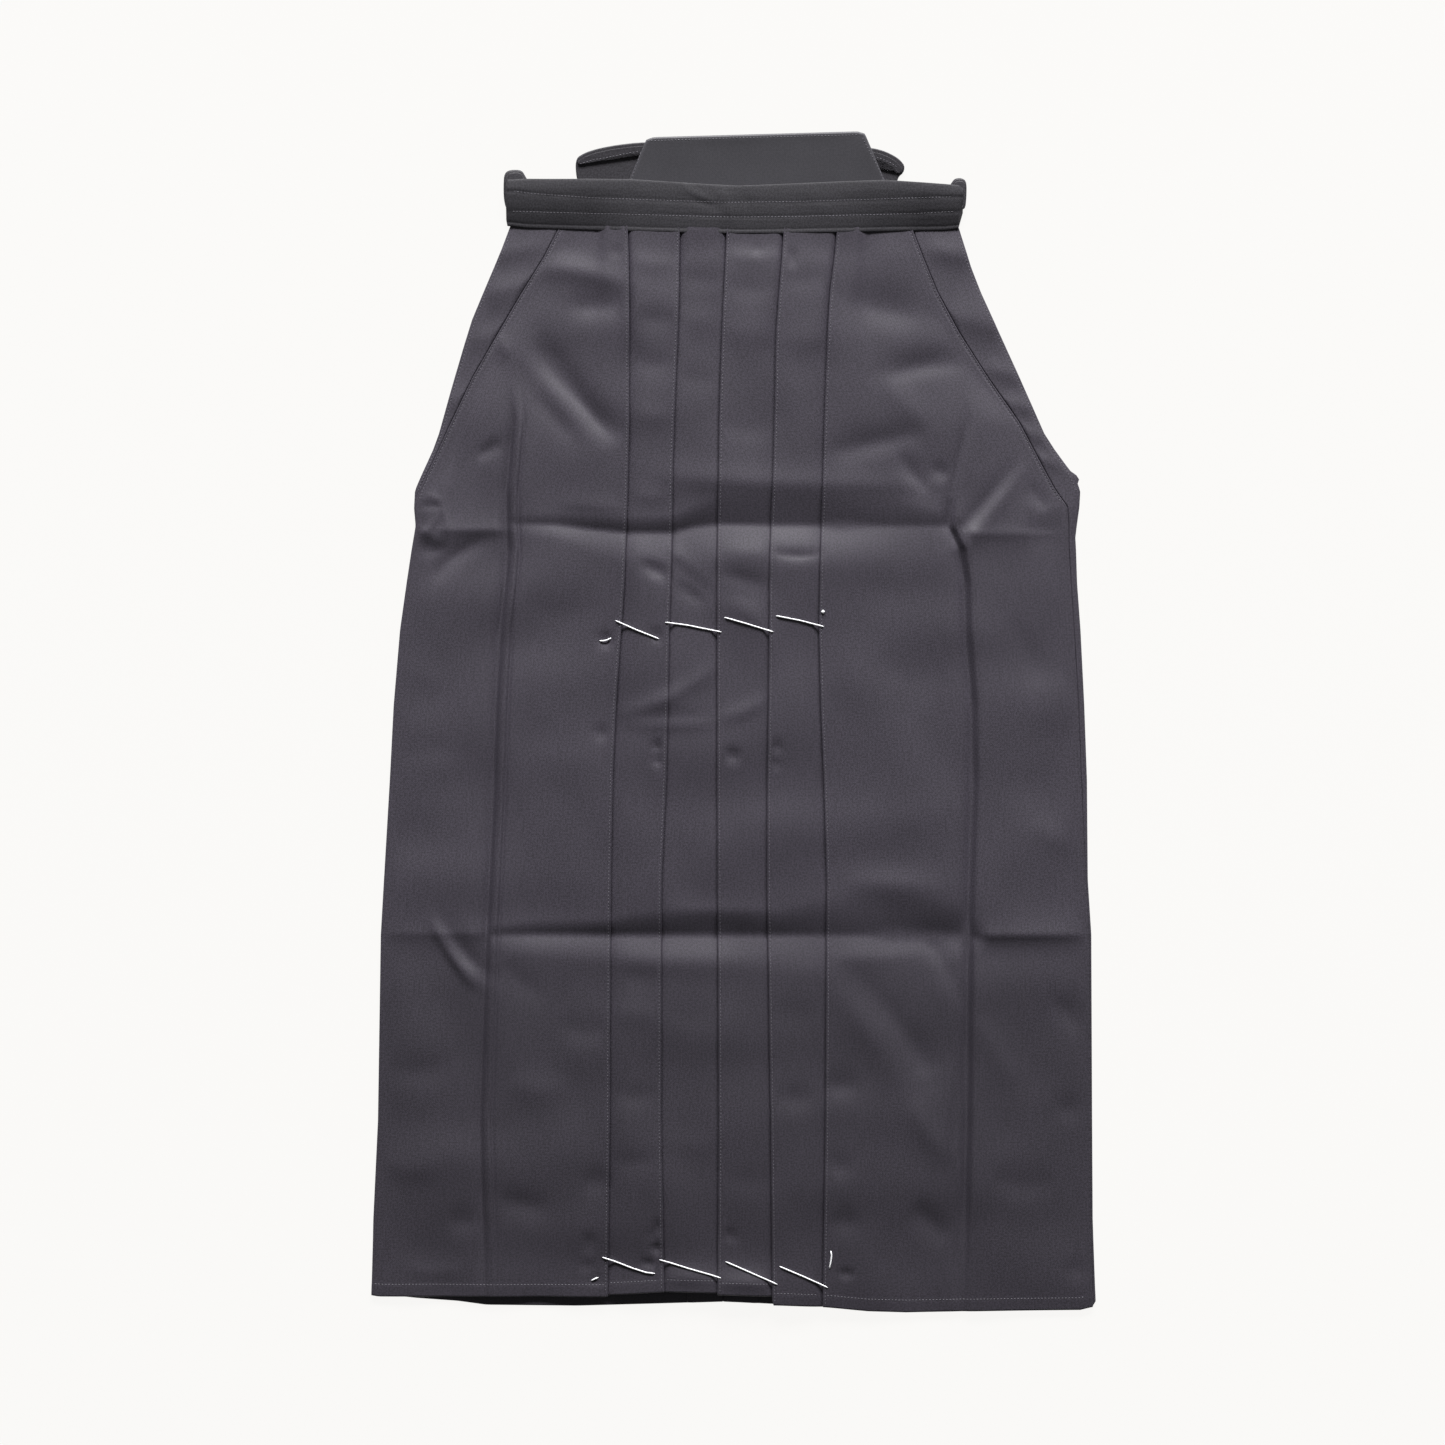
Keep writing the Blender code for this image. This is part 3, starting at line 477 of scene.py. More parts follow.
# Its ends: where they are, over which length they thin out and the share of the height they lose
BAND_END = 196.0
BAND_END_LENGTH = 4.0
BAND_END_THIN = 0.3
BAND_STEPS = 14
BAND_CREASES = (
    (-45, 962, -30, 952, -14, 946, 0.5, 3, 4),
    (-36, 950, -22, 944, -8, 941, -0.5, 4, 3),
    (-10, 958, -6, 946, -2, 930, 0.6, 4, 6),
    (4, 956, 12, 944, 14, 930, -0.4, 5, 5),
    (-92, 960, -84, 945, -82, 930, -0.3, 7, 6),
    (60, 958, 72, 946, 78, 930, 0.3, 9, 7),
    (120, 960, 112, 944, 110, 928, -0.3, 8, 8),
    (-150, 958, -146, 946, -140, 932, 0.3, 8, 9),
)

BOARD_CORNERS = ((-101.5, 938.0), (141.0, 938.0), (110.9, 1006.8), (-73.7, 1001.7))

# Outlines of the folded straps
BACK_STRAP_RIGHT = (
    (-136.0, 984.2), (-126.6, 990.0), (-114.6, 993.6), (-99.3, 996.4), (-79.9, 998.6),
    (-40.0, 999.4), (10.0, 996.0), (13.0, 968.0), (-10.0, 958.0), (-132.8, 957.0),
)
BACK_STRAP_LEFT = (
    (17.0, 968.0), (18.0, 993.0), (60.0, 996.6), (115.0, 994.4), (128.0, 991.6),
    (140.0, 985.6), (146.3, 978.8), (145.2, 972.6), (140.0, 968.6), (138.9, 957.5),
    (40.0, 957.5),
)
BACK_ROLL_RIGHT = (
    (-135.4, 983.6), (-126.6, 989.4), (-114.6, 993.0), (-99.3, 995.8), (-79.9, 998.0),
    (-40.0, 998.8), (10.0, 995.4), (10.0, 987.0), (-40.0, 990.5), (-80.0, 989.4), (-108.0, 984.2),
    (-132.2, 978.4),
)
BACK_ROLL_LEFT = (
    (18.0, 986.0), (18.0, 992.4), (60.0, 996.0), (115.0, 993.8), (128.0, 991.0), (139.6, 985.2),
    (145.6, 978.6), (144.0, 973.0), (140.6, 971.0), (137.0, 976.5), (126.0, 983.0), (112.0, 986.0),
    (60.0, 988.0),
)
FRONT_STRAP_RIGHT = (
    (-196.4, 950.0), (-196.6, 962.0), (-196.0, 971.6), (-192.0, 975.0), (-181.0, 975.2),
    (-177.6, 969.0), (-173.0, 961.5), (-152.0, 960.5), (-149.0, 940.0), (-193.6, 938.6),
)
FRONT_STRAP_LEFT = (
    (154.0, 940.0), (156.0, 958.0), (180.0, 957.6), (184.6, 961.6), (188.4, 967.8),
    (194.6, 968.2), (199.0, 965.4), (198.8, 950.0), (197.2, 938.8),
)
# Layers of a folded strap: share of the height where each starts and ends, how far its outline is
# drawn in, and how far it has slipped towards +X and towards the waist
BACK_STRAP_LAYERS = ((0.02, 0.36, 0.0, 0.0, 0.0), (0.38, 0.64, 0.5, 0.2, -0.4))
BACK_ROLL_LAYERS = ((0.66, 0.82, 0.3, 0.2, 0.0), (0.83, 0.99, 1.5, -0.3, -1.6))
FRONT_STRAP_LAYERS = (
    (0.02, 0.33, 0.0, 0.0, 0.0), (0.36, 0.66, 0.7, 0.2, -0.3), (0.69, 0.99, 1.8, 0.3, -1.0),
)

# Stitched lines of the band, the straps and the board, as places along x and up
BAND_UPPER_LINE = ((-188, 956), (-172, 954), (-119, 950), (-6, 946), (60, 947), (186, 951))
BAND_LOWER_LINE = (
    (-189, 939), (-183, 939), (-119, 936.9), (-6, 933.7), (61, 934.3), (153, 936.9), (188, 938.8),
)
BACK_STRAP_LINE = ((-132, 979.5), (-120, 983), (-108, 985), (-94, 988), (-80, 990.4))
LEFT_STRAP_LINE = ((116, 986.5), (126, 984), (134, 980.5), (141, 976))
BOARD_LINES = (
    ((-99, 941.5), (-88, 963), (-76, 998.5)), ((-74, 998.2), (0, 1000.7), (107, 1003.4)),
    ((138.5, 941.5), (124, 974), (109, 1002)),
)

# Stitches: distance from one to the next, their length, half their width, half their height, where
# the first starts and how much higher one end may lie than the other
STITCH_PITCH = 2.9
STITCH_LENGTH = 1.8
STITCH_WIDE = 0.36
STITCH_HIGH = 0.2
STITCH_FIRST = 0.4
STITCH_STEEPEST = 0.8
# Places of a stitch's two rings, as shares of its length
STITCH_RINGS = (0.2, 0.8)
# How far each line of stitches lies inside the fold or the edge that it follows
FOLD_STITCH = 1.6
SLIT_STITCH = 2.2
HEM_STITCH = 10.0
BACK_STITCH = 4.0
# Groove under a line of stitches: its depth, half its width and the length over which it ends
GROOVE = 0.38
GROOVE_REACH = 0.8
GROOVE_END = 8.0
BAND_GROOVE_REACH = 1.0
# Places where lines of stitches start and end
STITCH_TOP = 922.0
SLIT_STITCH_TOP = 924.0
SLIT_STITCH_END = 692.0
BARE_STITCH_TOP = 918.0
SLIT_END_UP = 700.0
BACK_STITCH_TOP = 925.0
BACK_STITCH_END = 14.0
BACK_STITCH_SIDE = 304.0
# Margins that keep a line's ends clear: of a fold at the hem, above the hem, and of the next strip
FOLD_MARGIN = 3.0
HEM_MARGIN = 2.0
STRIP_MARGIN = 1.0
# Height from which surfaces are searched
SEARCH_HEIGHT = 60.0

# White basting threads left in the cloth: the places each passes over, and their radius
THREAD_RADIUS = 0.62
THREAD_STEP = 1.6
BASTING = (
    ((-115, 573), (-112, 572.4), (-108, 573.2), (-104, 575.4)),
    ((-101, 590), (-82, 581.5), (-63, 574)),
    ((-59, 588.4), (-40, 586), (-10, 580)),
    ((-8.4, 592.7), (12, 586.8), (34.2, 580)),
    ((35.4, 594), (56, 590), (77.3, 584.6)),
    ((-122, 26.7), (-118.6, 28.6), (-115, 29.9)),
    ((-112.6, 47.3), (-98, 42.3), (-86, 37.8), (-74.8, 34.4), (-66.5, 33.5)),
    ((-63.7, 45.5), (-38, 37.6), (-10.2, 29.7)),
    ((-7.4, 43.8), (14, 34.6), (37.8, 24.1)),
    ((38.6, 39.8), (60, 30.6), (80.8, 21)),
    ((82.7, 53.1), (83.5, 48.5), (82.6, 42.5), (81.4, 37)),
)
KNOT = ((75.4, 596.6), (76.2, 597.4), (77.0, 598.0))
KNOT_RADIUS = 1.5
# A thread's middle lies this share of its radius above the cloth, and as far below it at its ends,
# where it sinks over the length
THREAD_PROUD = 0.8
THREAD_END = 1.5
# Its tips: their radius as a share of the thread's, and how quickly it reaches the whole one
THREAD_TIP = 0.25
THREAD_ROUND = 2.2

# Looks, in metres: width of a rib, what a wave texture's period is at scale 1, and shares of the
# cloth's colour in its patches
RIB = 0.00085
WAVE_PERIOD = 0.3
WORN_DARK = 0.90
WORN_LIGHT = 1.12
# Weight of the streaks in the grain, the range of that sum, and weight of the ribs in the relief
STREAK_WEIGHT = 0.3
GRAIN_LOW = 0.51
GRAIN_HIGH = 0.79
RIB_WEIGHT = 0.6
# Painted shade: what is left of the legs' colour below the lower storage crease, and where the change is
LOW_PAINTED_SHADE = 0.78
LOW_PAINTED_SHADE_FROM = 0.36
LOW_PAINTED_SHADE_TO = 0.24
# Threads and paper: the darker share of their mottle. The paper: what it gives back of the light that
# falls on it, and what it sends out
MOTTLE_DARK = 0.94
PAPER_DIFFUSE = 0.03
PAPER_LIGHT = 0.957

# The stage, in metres and watts
FLOOR_HALF = 6.0
FLOOR_DROP = 0.0002
KEY_PLACE = (0.4, 8.2, 3.6)
KEY_AIM = (0.0, 0.1, 0.0)
KEY_WIDTH = 7.5
KEY_HEIGHT = 2.2
KEY_POWER = 2690.0
SKY_STRENGTH = 0.11
CAMERA_X = -0.00955
CAMERA_Y = -0.0003
CAMERA_HEIGHT = 3.4
CLOTH_HEIGHT = 0.005


def column(table, columns, name, where, key="up"):
    """The named column of a table, read at one or many places along its key column."""
    rows = np.array(table, dtype=float)
    keys = rows[:, columns.index(key)]
    order = np.argsort(keys)
    return np.interp(where, keys[order], rows[order, columns.index(name)])


def front(name, up):
    return column(FRONT, FRONT_COLUMNS, name, up)


def back(name, up):
    return column(BACK, BACK_COLUMNS, name, up)


def hem(table, x):
    return column(table, HEM_COLUMNS, "up", x, key="x")


def plateau(distance, inner, outer):
    """1 within the inner distance, 0 beyond the outer one, and a soft step between them."""
    share = np.clip((outer - np.abs(distance)) / (outer - inner), 0.0, 1.0)
    return share * share * (3.0 - 2.0 * share)


def bend(row, places=9):
    """Places on the curve that leaves a crease's first point, passes its second and ends at its third.

    The second point is on the curve at its middle, so the control point of the quadratic curve is
    twice that point less the mean of the two ends.
    """
    first, passed, last = (np.array(row[k:k + 2], dtype=float) for k in (0, 2, 4))
    control = 2.0 * passed - (first + last) / 2.0
    t = np.linspace(0.0, 1.0, places)[:, None]
    return (1 - t) ** 2 * first + 2 * t * (1 - t) * control + t * t * last


def crease_height(x, up, row):
    """Height that one crease adds: highest on its line, less by a bell on each side and at its ends.

    The bell is exp(-(distance / reach) ^ power), with one reach to the left and one to the right.
    At a share t of its length the height is multiplied by sin(pi t) ^ fade, where t starts and ends
    a little way in.
    """
    path = bend(row)
    height, reach_left, reach_right = row[6:9]
    nearest = np.full(x.shape, 1e9)
    signed = np.zeros(x.shape)
    along = np.zeros(x.shape)
    count = len(path) - 1
    for k in range(count):
        start, step = path[k], path[k + 1] - path[k]
        length_2 = step @ step
        t = np.clip(((x - start[0]) * step[0] + (up - start[1]) * step[1]) / length_2, 0.0, 1.0)
        away_x = x - start[0] - t * step[0]
        away_up = up - start[1] - t * step[1]
        distance = np.hypot(away_x, away_up)
        closer = distance < nearest
        nearest = np.where(closer, distance, nearest)
        side = step[0] * away_up - step[1] * away_x
        signed = np.where(closer, side, signed)
        along = np.where(closer, (k + t) / count, along)
    reach = np.where(signed > 0.0, reach_left, reach_right)
    inside = CREASE_CUT + along * (1.0 - 2.0 * CREASE_CUT)
    fade = np.sin(np.pi * np.clip(inside, 0.0, 1.0)) ** CREASE_FADE
    return height * fade * np.exp(-((nearest / reach) ** CREASE_BELL))


def creases(x, up, table):
    """Sum of the heights of a table's creases, each worked out only where it reaches."""
    total = np.zeros(np.broadcast(x, up).shape)
    x = np.broadcast_to(x, total.shape)
    up = np.broadcast_to(up, total.shape)
    for row in table:
        reach = CREASE_FAR * max(row[7:9])
        xs, ups = row[0:6:2], row[1:6:2]
        near = (x > min(xs) - reach) & (x < max(xs) + reach)
        near &= (up > min(ups) - reach) & (up < max(ups) + reach)
        total[near] += crease_height(x[near], up[near], row)
    return total


def dimples(x, up):
    """Sum of the dents' depths, each -depth * exp(-(distance / radius) ^ 2)."""
    total = np.zeros(np.broadcast(x, up).shape)
    for place_x, place_up, depth, radius in DIMPLES:
        apart = np.hypot(x - place_x, up - place_up) / radius
        total = total - depth * np.exp(-(apart ** 2))
    return total


def bell(offset, left, right, power=2.0):
    """exp(-(distance / reach) ^ power), with one reach below 0 and another above it."""
    reach = np.where(offset < 0.0, left, right)
    return np.exp(-((np.abs(offset) / reach) ** power))


def valley(x, up, table):
    """How deep a point lies in a long crease: 1 on its line and 0 beyond its reach.

    With s the share of the reach, the profile is 1 - 1.5 s + 0.5 s ^ 3: steepest on the line and
    level where it ends.
    """
    line, above, below, press = (
        column(table, LONG_CREASE_COLUMNS, name, x, key="x") for name in LONG_CREASE_COLUMNS[1:]
    )
    offset = up - line
    share = np.clip(np.abs(offset) / np.where(offset > 0.0, above, below), 0.0, 1.0)
    return press * (1.0 - 1.5 * share + 0.5 * share ** 3)


def unevenness(x, up):
    """Soft waves all over the cloth.

    Each is sin(a + bent * sin(b)), where a runs along the wave's own direction and b across it, so
    that no two crests are alike.
    """
    total = 0.0
    for length_x, length_up, bent, height in WAVES:
        along = 2.0 * np.pi * (x / length_x + up / length_up)
        across = 2.0 * np.pi * (x / length_up - up / length_x) * WAVE_ACROSS
        total = total + height * np.sin(along + bent * np.sin(across + length_x))
    return total


def relief(x, up, puff_height):
    """Rise of the front over its flat layers: a soft puff that storage creases press down.

    The two long creases across the middle are valleys there and ridges on the outer flaps, where
    the garment was folded over. The upright creases follow their own profiles.
    """
    right_crease = front("right_crease", up)
    left_crease = front("left_crease", up)
    side_room = np.minimum(x - front("right_side", up), front("left_side", up) - x)
    side_room = np.maximum(side_room, 0.0)
    at_side = 1.0 - np.exp(-side_room / FLAP_SLOPE)
    puff = puff_height * (1.0 - np.exp(-side_room / PUFF_SLOPE))
    puff = puff * plateau(up - PUFF_MIDDLE, PUFF_FULL, PUFF_NONE)
    inside = np.minimum(x - right_crease, left_crease - x)
    middle = np.clip(inside / FLAP_BLEND + 1.0, 0.0, 1.0)
    for table in (UPPER_CREASE, LOWER_CREASE):
        puff = puff * (1.0 - middle * valley(x, up, table))
    upright = plateau(up - UPRIGHT_MIDDLE, UPRIGHT_FULL, UPRIGHT_NONE)
    ridges = 0.0
    low_faint = 1.0 - RIGHT_LOW_FAINT * np.clip((LOW_FAINT_FROM - up) / LOW_FAINT_OVER, 0.0, 1.0)
    faint = 1.0 - UPRIGHT_FAINT * np.clip((up - UPPER_FAINT_FROM) / UPPER_FAINT_OVER, 0.0, 1.0)
    for crease_x, profile, flap_ridges, facing, strength in (
        (right_crease, RIGHT_UPRIGHT, RIGHT_FLAP_RIDGES, -1.0, low_faint),
        (left_crease, LEFT_UPRIGHT, LEFT_FLAP_RIDGES, 1.0, faint),
    ):
        beside = x - crease_x
        share = column(profile, UPRIGHT_COLUMNS, "share", beside, key="beside")
        puff = puff + UPRIGHT_RISE * upright * bell(beside, UPRIGHT_REACH, UPRIGHT_REACH)
        puff = puff * (1.0 - upright * strength * (1.0 - share))
        on_flap = np.where(beside * facing > 0.0, 1.0 - middle, 0.0)
        for place, height, below, above in flap_ridges:
            ridges = ridges + height * on_flap * bell(up - place, below, above, RIDGE_BELL)
    beside = x - DRAG_MIDDLE[0]
    beyond = up - DRAG_MIDDLE[1]
    across = np.abs(beside * DRAG_ACROSS[0] + beyond * DRAG_ACROSS[1])
    drag = DRAG_PRESS * plateau(np.hypot(beside, beyond), DRAG_FULL, DRAG_NONE)
    puff = puff * (1.0 - drag * np.exp(-across / DRAG_WIDTH))
    return (puff + ridges) * at_side


def ground(x, up, puff_height):
    """Height of the middle of the front's lowest layer: over the back, its folds and the gusset."""
    beside = x - BACK_FOLD_X
    over_folds = LAYER * plateau(beside, FOLDS_FULL, FOLDS_NONE)
    near_crotch = plateau(up - CROTCH_UP, GUSSET_LENGTH_FULL, GUSSET_LENGTH_NONE)
    over_gusset = LAYER * plateau(beside, GUSSET_FULL, FOLDS_NONE) * near_crotch
    return CAD_CLOTH / 2 + LAYER + over_folds + over_gusset + relief(x, up, puff_height)


def front_detail(x, up):
    """Creases and dimples of the front, which fade at the sides and under the waistband."""
    side_room = np.minimum(x - front("right_side", up), front("left_side", up) - x)
    fade = 1.0 - np.exp(-np.maximum(side_room, 0.0) / DETAIL_SIDE)
    fade = fade * np.clip((DETAIL_TOP - up) / DETAIL_TOP_FADE, 0.0, 1.0)
    swell = column(WAIST_SWELL, WAIST_SWELL_COLUMNS, "height", x, key="x")
    swell = swell * bell(up - WAIST_SWELL_UP, WAIST_SWELL_BELOW, WAIST_SWELL_ABOVE)
    hem_swell = column(HEM_SWELL, HEM_SWELL_COLUMNS, "height", x, key="x")
    swell = swell + hem_swell * bell(up - HEM_SWELL_UP, HEM_SWELL_BELOW, HEM_SWELL_ABOVE)
    low = np.clip((LOW_CREASES_FROM - up) / LOW_CREASES_OVER, 0.0, 1.0)
    scale = CREASE_SCALE + LOW_CREASE_SCALE * low
    detail = scale * creases(x, up, FRONT_CREASES) + DIMPLE_SCALE * dimples(x, up)
    return fade * (detail + unevenness(x, up)) + swell


def grid_rows(top):
    """Places along the length, from the top down, each band of rows with its own step."""
    rows = []
    for start, end, step in ROWS:
        count = int(round((start - end) / step))
        rows.append(np.linspace(start, end, count, endpoint=False))
    rows = np.concatenate(rows + [[0.0]])
    return np.minimum(rows, top)[:, None]


def hem_blended(up, edge):
    """Rows near the hem close up towards the hem's own line."""
    share = np.clip(up / HEM_BLEND, 0.0, 1.0)
    return np.where(up < HEM_BLEND, edge + share * (HEM_BLEND - edge), up)


def even_shares(count, gather=0.4):
    """Shares from 0 up to 1, without the last: evenly spaced, drawn towards both ends by gather."""
    even = np.linspace(0.0, 1.0, count, endpoint=False)
    return (1.0 - gather) * even + gather * (1.0 - np.cos(np.pi * even)) / 2.0


def span(start, end, shares, layer_from=0.0, layer_to=0.0, crown=0.0, quick=None):
    """Part of a section: places at shares of the way, the layer easing from one to the other.

    At the share s the rise is s ^ 2 (3 - 2 s). A quick one is 1 - (1 - s) ^ quick instead: most of
    its climb is at its start, as where cloth leaves a fold. A crown lifts the whole part but for its
    two ends: crown (1 - |2 s - 1| ^ 6).
    """
    shares = np.asarray(shares)
    ease = shares * shares * (3.0 - 2.0 * shares)
    if quick is not None:
        ease = 1.0 - (1.0 - shares) ** quick
    x = start + (end - start) * shares
    layer = layer_from + (layer_to - layer_from) * ease
    layer = layer + crown * (1.0 - np.abs(2.0 * shares - 1.0) ** CROWN_POWER)
    return x, np.broadcast_to(layer, x.shape)


def turn(edge, facing, layer_from, layer_to, count):
    """Part of a section: a half circle round a fold whose edge looks towards facing."""
    angle = np.linspace(0.0, np.pi, count + 2)[1:-1]
    x = edge - facing * TURN * (1.0 - np.sin(angle))
    layer = layer_from + (layer_to - layer_from) * (1.0 - np.cos(angle)) / 2.0
    return x, np.broadcast_to(layer, x.shape)


# Shares of the way at which a strip has points: where it leaves a fold, where it comes to one and
# where it is hidden
QUICK_SHARES = (
    0.03, 0.06, 0.09, 0.13, 0.17, 0.22, 0.28, 0.35, 0.43, 0.52, 0.61, 0.7, 0.8, 0.9,
)
NEAR_FOLD = (0.0, 0.2, 0.4, 0.58, 0.72, 0.81, 0.87, 0.915, 0.955, 1.0)
HIDDEN = (0.0, 0.33, 0.67, 1.0)


def pleat(edge, facing, depth, closes=True):
    """One pleat: in on layer 2, round the edge, back on layer 1, round again and out on layer 0."""
    back_edge = edge - facing * depth
    near_edge = edge - facing * TURN
    near_back = back_edge + facing * TURN
    parts = [
        span(back_edge, near_edge, NEAR_FOLD, 2.0, 2.0),
        turn(edge, facing, 2.0, 1.0, 5),
        span(near_edge, near_back, HIDDEN, 1.0, 1.0),
    ]
    if closes:
        parts.append(turn(back_edge, -facing, 1.0, 0.0, 3))
        parts.append(span(near_back, edge, HIDDEN))
    return parts


def pleat_depth(up):
    """How far a fold reaches back under its strip, evenly less from the hem to the waist."""
    return PLEAT_AT_HEM + (PLEAT_AT_WAIST - PLEAT_AT_HEM) * up / LENGTH


def ramp_room(up):
    """Length of the slope beside the outer pleats, shorter at the narrow waist."""
    return RAMP * np.interp(up, RAMP_UPS, (1.0, RAMP_AT_WAIST))


def quickness(up):
    """Power of a strip's quick rise, greater near the waist, where the pleats are pressed flat."""
    return np.interp(up, QUICK_UPS, QUICK_POWERS)


def crease_room(up):
    """Width of the fine columns on each side of an upright crease, less at the narrow waist."""
    return np.interp(up, CREASE_ROOM_UPS, (CREASE_ROOM, CREASE_ROOM_AT_WAIST))


def joined(parts):
    """One section for each row, from its parts side by side: (x, layer)."""
    return tuple(np.concatenate([part[k] for part in parts], axis=1) for k in (0, 1))


def right_front_section(up):
    """The right leg's front, from its side to its last hidden fold under the middle strip."""
    depth = pleat_depth(up)
    side, crease, fold_1, fold_2, fold_3 = (
        front(name, up) for name in ("right_side", "right_crease", "fold_1", "fold_2", "fold_3")
    )
    ramp_start = fold_1 - depth - ramp_room(up)
    room = crease_room(up)
    parts = [
        span(side, side + SIDE_ROOM, even_shares(6, 0.0)),
        span(side + SIDE_ROOM, crease - room, even_shares(34, 0.0)),
        span(crease - room, crease + room, even_shares(20, 0.0)),
        span(crease + room, ramp_start, even_shares(9, 0.0)),
        span(ramp_start, fold_1 - depth, even_shares(11, 0.0), 0.0, 2.0),
    ]
    parts += pleat(fold_1, 1, depth)
    parts.append(span(fold_1, fold_2 - depth, QUICK_SHARES, 0.0, 2.0, quick=quickness(up)))
    parts += pleat(fold_2, 1, depth)
    crown = np.interp(up, CROWN_UPS, CROWNS)
    parts.append(span(fold_2, fold_3, even_shares(24, 0.5)[1:], 0.0, 0.0, crown))
    parts.append(span(fold_3, fold_3 + depth, HIDDEN))
    return joined(parts)


def left_front_section(up):
    """The left leg's front, from its side to the middle strip's edge."""
    depth = pleat_depth(up)
    side, crease, fold_3, fold_4, fold_5 = (
        front(name, up) for name in ("left_side", "left_crease", "fold_3", "fold_4", "fold_5")
    )
    ramp_start = fold_5 + depth + ramp_room(up)
    room = crease_room(up)
    parts = [
        span(side, side - SIDE_ROOM, even_shares(6, 0.0)),
        span(side - SIDE_ROOM, crease + room, even_shares(32, 0.0)),
        span(crease + room, crease - room, even_shares(18, 0.0)),
        span(crease - room, ramp_start, even_shares(17, 0.0)),
        span(ramp_start, fold_5 + depth, even_shares(10, 0.0), 0.0, 2.0),
    ]
    parts += pleat(fold_5, -1, depth)
    parts.append(span(fold_5, fold_4 + depth, QUICK_SHARES, 0.0, 2.0, quick=quickness(up)))
    parts += pleat(fold_4, -1, depth)
    parts.append(span(fold_4, fold_3 + depth, QUICK_SHARES, 0.0, 2.0, quick=quickness(up)))
    parts += pleat(fold_3, -1, depth, closes=False)
    return joined(parts)


# Places where a pleat's edge stands up more: which fold, where, half its length and its height
FOLD_LIFTS = (
    ("fold_1", 843, 26, 1.5), ("fold_1", 748, 30, 1.1), ("fold_2", 860, 30, 0.9),
    ("fold_1", 500, 60, 0.6), ("fold_2", 640, 40, 0.7), ("fold_3", 760, 50, 0.6),
    ("fold_4", 830, 45, 0.6), ("fold_4", 500, 70, 0.5), ("fold_5", 842, 24, 1.2),
    ("fold_5", 420, 60, 0.5), ("fold_3", 200, 70, 0.5), ("fold_1", 120, 50, 0.5),
)
FOLD_LIFT_REACH = 9.0

# Every fold's edge stands up a little, and looks towards +X or -X
FOLD_RISE = 0.85
FOLD_RISE_REACH = 6.0
FOLD_FACINGS = (("fold_1", 1), ("fold_2", 1), ("fold_3", -1), ("fold_4", -1), ("fold_5", -1))


def fold_lift(x, up, layer):
    """Extra height of the upper layers near a fold's edge: exp(-distance / reach) across it.

    Where an edge stands up more, a bell exp(-(distance / half length) ^ 2) along it is added.
    """
    total = np.zeros(x.shape)
    for name, _ in FOLD_FACINGS:
        beside = np.abs(x - front(name, up))
        total = total + FOLD_RISE * np.exp(-beside / FOLD_RISE_REACH)
    for name, place, half_length, height in FOLD_LIFTS:
        along = np.exp(-(((up - place) / half_length) ** 2))
        across = np.exp(-np.abs(x - front(name, up)) / FOLD_LIFT_REACH)
        total = total + height * along * across
    return total * np.clip(layer / TOP_LAYER, 0.0, 1.0) ** 2


def fold_groove(x, up, layer):
    """A shallow groove in the top layer along the stitched line of each fold."""
    total = np.zeros(x.shape)
    for name, facing in FOLD_FACINGS:
        away = x - front(name, up) + facing * FOLD_STITCH
        total = total - GROOVE * np.exp(-((away / GROOVE_REACH) ** 2))
    return total * (layer > TOP_LAYER - 0.1)


def slit_groove(x, up):
    """A shallow groove along the stitched line of each slit's edge."""
    inside = np.minimum(x - front("right_side", up), front("left_side", up) - x)
    groove = GROOVE * np.exp(-(((inside - SLIT_STITCH) / GROOVE_REACH) ** 2))
    return -groove * np.clip((up - SLIT_END_UP) / GROOVE_END + 1.0, 0.0, 1.0)


def section_arc(x, z):
    """Length of cloth along each row from its first point, through every fold."""
    steps = np.hypot(np.diff(x, axis=1), np.diff(z, axis=1))
    return np.concatenate([np.zeros((len(x), 1)), np.cumsum(steps, axis=1)], axis=1)


def front_middle(section_of, hem_table, sizes):
    """Middle surface of a front: one section of folded cloth for each row.

    Its rise over its lowest place is never below 0: under 1 mm it is eased to exp(rise - 1).
    """
    rows = grid_rows(FRONT_TOP)
    x, layer = section_of(rows)
    up = hem_blended(rows, hem(hem_table, x))
    puff = sizes.puff / MM
    lowest = CAD_CLOTH / 2 + LAYER - FRONT_SINKS
    rise = ground(x, up, puff) + front_detail(x, up) - lowest
    rise = np.where(rise > 1.0, rise, np.exp(np.minimum(rise, 1.0) - 1.0))
    z = lowest + rise + LAYER * layer + fold_lift(x, up, layer)
    z = z + fold_groove(x, up, layer) + slit_groove(x, up)
    above_hem = up - hem(hem_table, x)
    return x, up, z, above_hem


def wall_faces(x, y, z, thickness):
    """The two faces of a wall: its middle moved both ways along mitred normals of each section."""
    steps = np.stack([np.diff(x, axis=1), np.diff(z, axis=1)], axis=-1)
    steps /= np.linalg.norm(steps, axis=-1, keepdims=True)
    normals = np.stack([-steps[..., 1], steps[..., 0]], axis=-1)
    before = np.concatenate([normals[:, :1], normals], axis=1)
    after = np.concatenate([normals, normals[:, -1:]], axis=1)
    mitre = before + after
    mitre /= 1.0 + np.sum(before * after, axis=-1, keepdims=True)
    offset = mitre * np.broadcast_to(thickness, x.shape)[..., None] / 2
    upper = np.stack([x + offset[..., 0], y, z + offset[..., 1]], axis=-1)
    lower = np.stack([x - offset[..., 0], y, z - offset[..., 1]], axis=-1)
    return upper, lower


